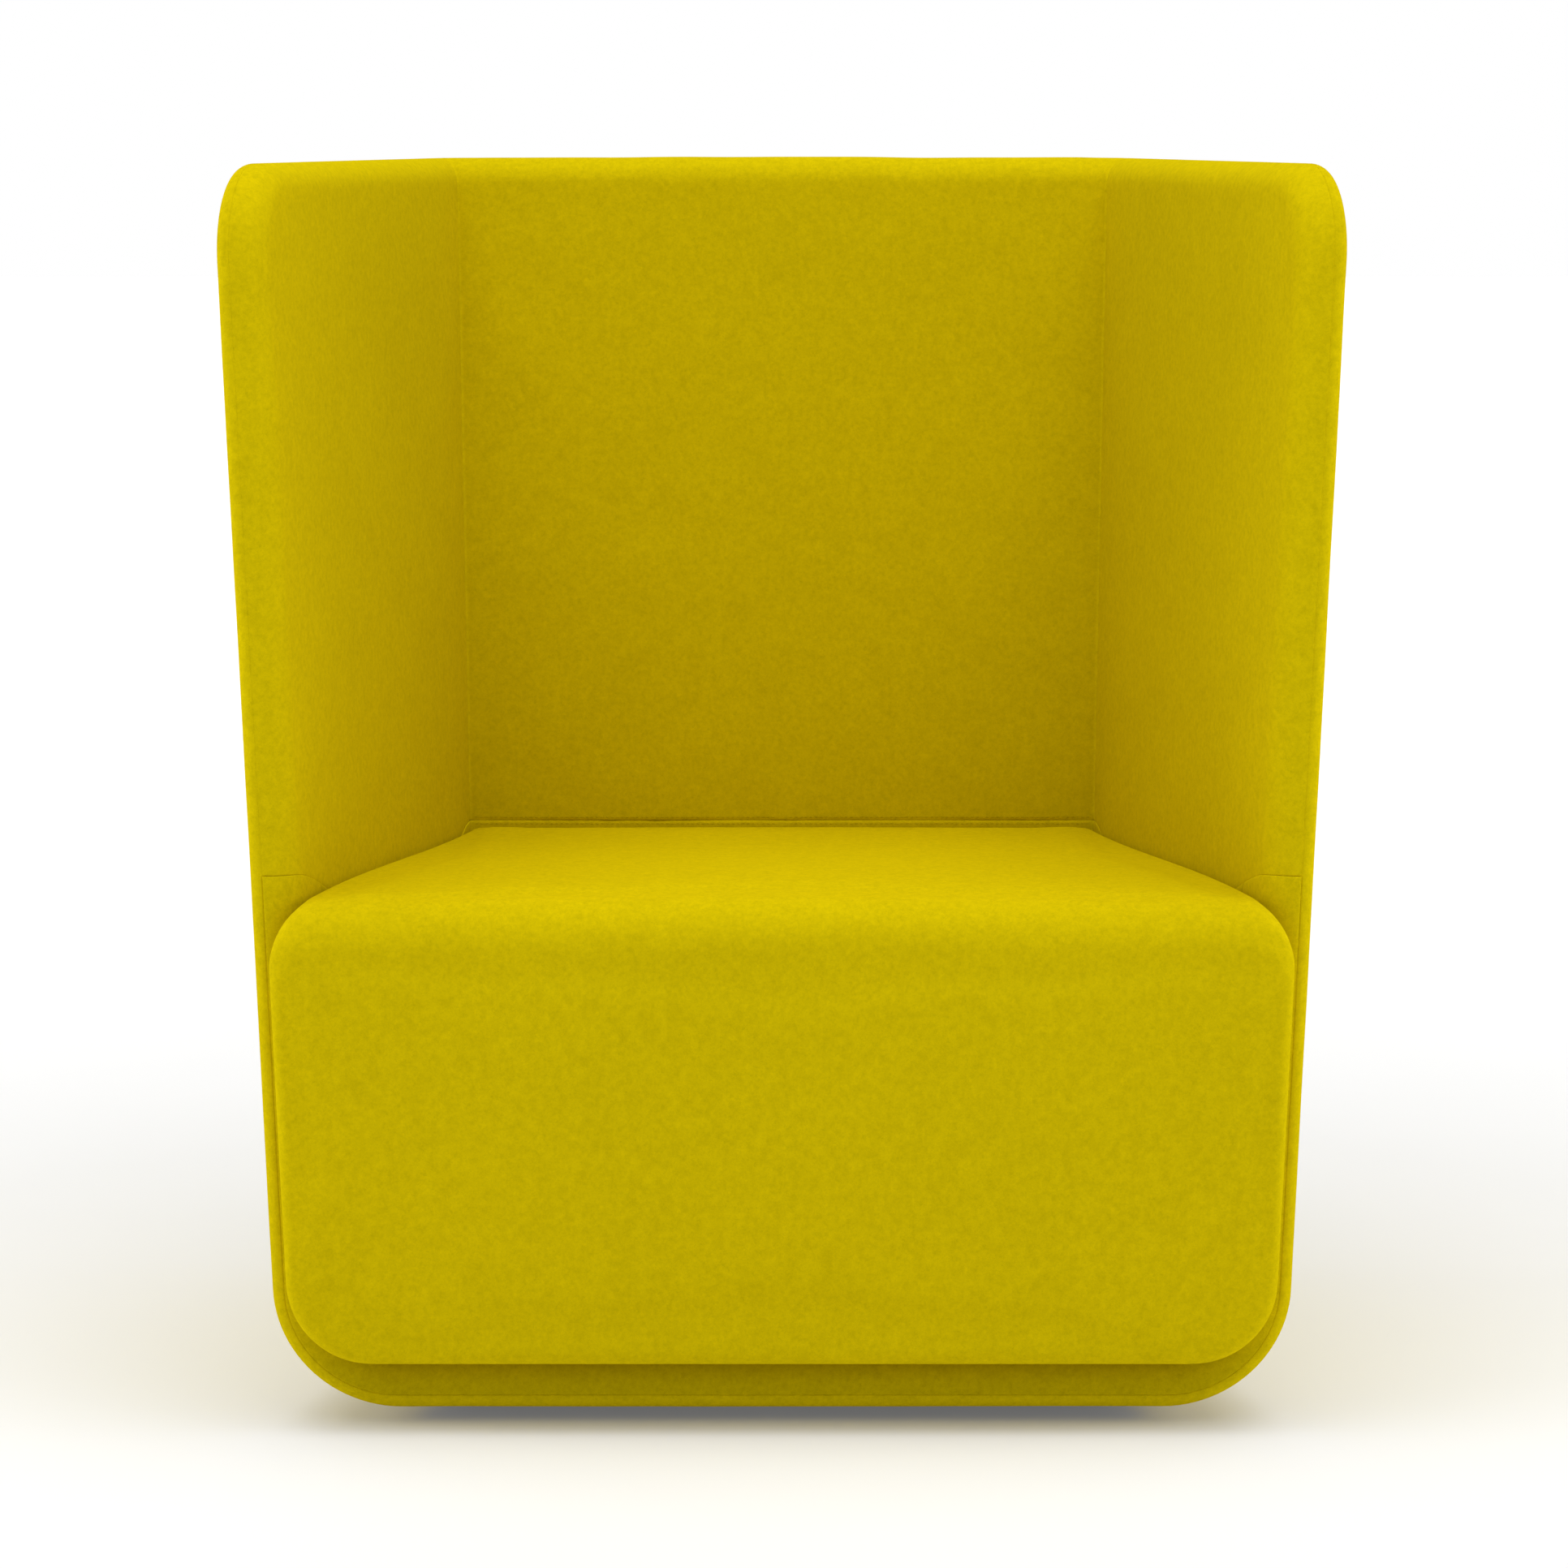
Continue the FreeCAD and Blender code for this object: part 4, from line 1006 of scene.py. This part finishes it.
# Strengths of the lights; the room straight in front of the chair has a share of the backdrop's light
room_share = 0.35
horizon_light = 1.0
sky_light = 0.25
ceiling_strength = 2.0
side_strength = 0.33
softbox_power = 15.5
kicker_power = 5.5


def soft_sun(name, elevation, turn, width, strength):
    """A very broad distant light, turned from straight in front, so soft that it throws no sharp shadow."""
    light = bpy.data.lights.new(name, "SUN")
    light.angle = math.radians(width)
    light.energy = strength
    lamp = bpy.data.objects.new(name, light)
    lamp.rotation_euler = (math.radians(90.0 - elevation), 0.0, math.radians(turn))
    bpy.context.scene.collection.objects.link(lamp)


def softbox(name, place_at, aim, size, power):
    """A rectangular lamp close to the chair."""
    light = bpy.data.lights.new(name, "AREA")
    light.shape = "RECTANGLE"
    light.size, light.size_y = size
    light.energy = power
    lamp = bpy.data.objects.new(name, light)
    lamp.location = place_at
    lamp.rotation_euler = (Vector(aim) - Vector(place_at)).to_track_quat("-Z", "Y").to_euler()
    lamp.visible_camera = False
    bpy.context.scene.collection.objects.link(lamp)


soft_sun("ceiling_light", elevation=85.0, turn=0.0, width=80.0, strength=ceiling_strength)
soft_sun("left_light", elevation=25.0, turn=-75.0, width=50.0, strength=side_strength)
soft_sun("right_light", elevation=25.0, turn=75.0, width=50.0, strength=side_strength)
softbox("top_box", (0.0, -0.7, 2.7), aim=(0.0, 0.0, 0.6), size=(2.4, 1.6), power=softbox_power)
for name, side in (("left_kicker", -1.0), ("right_kicker", 1.0)):
    softbox(name, (1.7 * side, -0.3, 0.55), aim=(0.4 * side, -0.3, 0.55), size=(0.6, 1.1), power=kicker_power)
world = bpy.data.worlds.new("studio")
bpy.context.scene.world = world
world.use_nodes = True
sky_tree = world.node_tree
sky_way = sky_tree.nodes.new("ShaderNodeTexCoord")
sky_turn = sky_tree.nodes.new("ShaderNodeMapping")
sky_turn.inputs["Scale"].default_value = (1.0, -1.0, 1.0)
sky_tree.links.new(sky_way.outputs["Generated"], sky_turn.inputs["Vector"])
sky_axes = sky_tree.nodes.new("ShaderNodeSeparateXYZ")
sky_tree.links.new(sky_turn.outputs["Vector"], sky_axes.inputs["Vector"])
sky_tone = ramp(sky_tree, sky_axes.outputs["Z"],
                [(0.0, grey(horizon_light)), (0.12, grey(horizon_light)), (0.22, grey(sky_light))])
room_tone = ramp(sky_tree, sky_axes.outputs["Y"], [(0.35, grey(1.0)), (0.8, grey(room_share))])
room_light = mix(sky_tree, sky_tone, room_tone, "MULTIPLY")
sky_tree.links.new(room_light, sky_tree.nodes["Background"].inputs["Color"])
bpy.context.scene.view_settings.view_transform = "Standard"
bpy.context.scene.view_settings.look = "None"

# The camera fitted to the photo: its place in metres, how many degrees it looks down, and its focal length
camera_place = (0.0017, -4.4, 1.0658)
camera_dip = 7.45
focal_pixels = 6282.8
image_pixels = 1932.0
camera_data = bpy.data.cameras.new("camera")
camera_data.sensor_width = 36.0
camera_data.lens = focal_pixels / image_pixels * camera_data.sensor_width
camera_data.clip_end = 100.0
camera = bpy.data.objects.new("camera", camera_data)
camera.location = camera_place
camera.rotation_euler = (math.radians(90.0 - camera_dip), 0.0, 0.0)
bpy.context.scene.collection.objects.link(camera)
bpy.context.scene.camera = camera
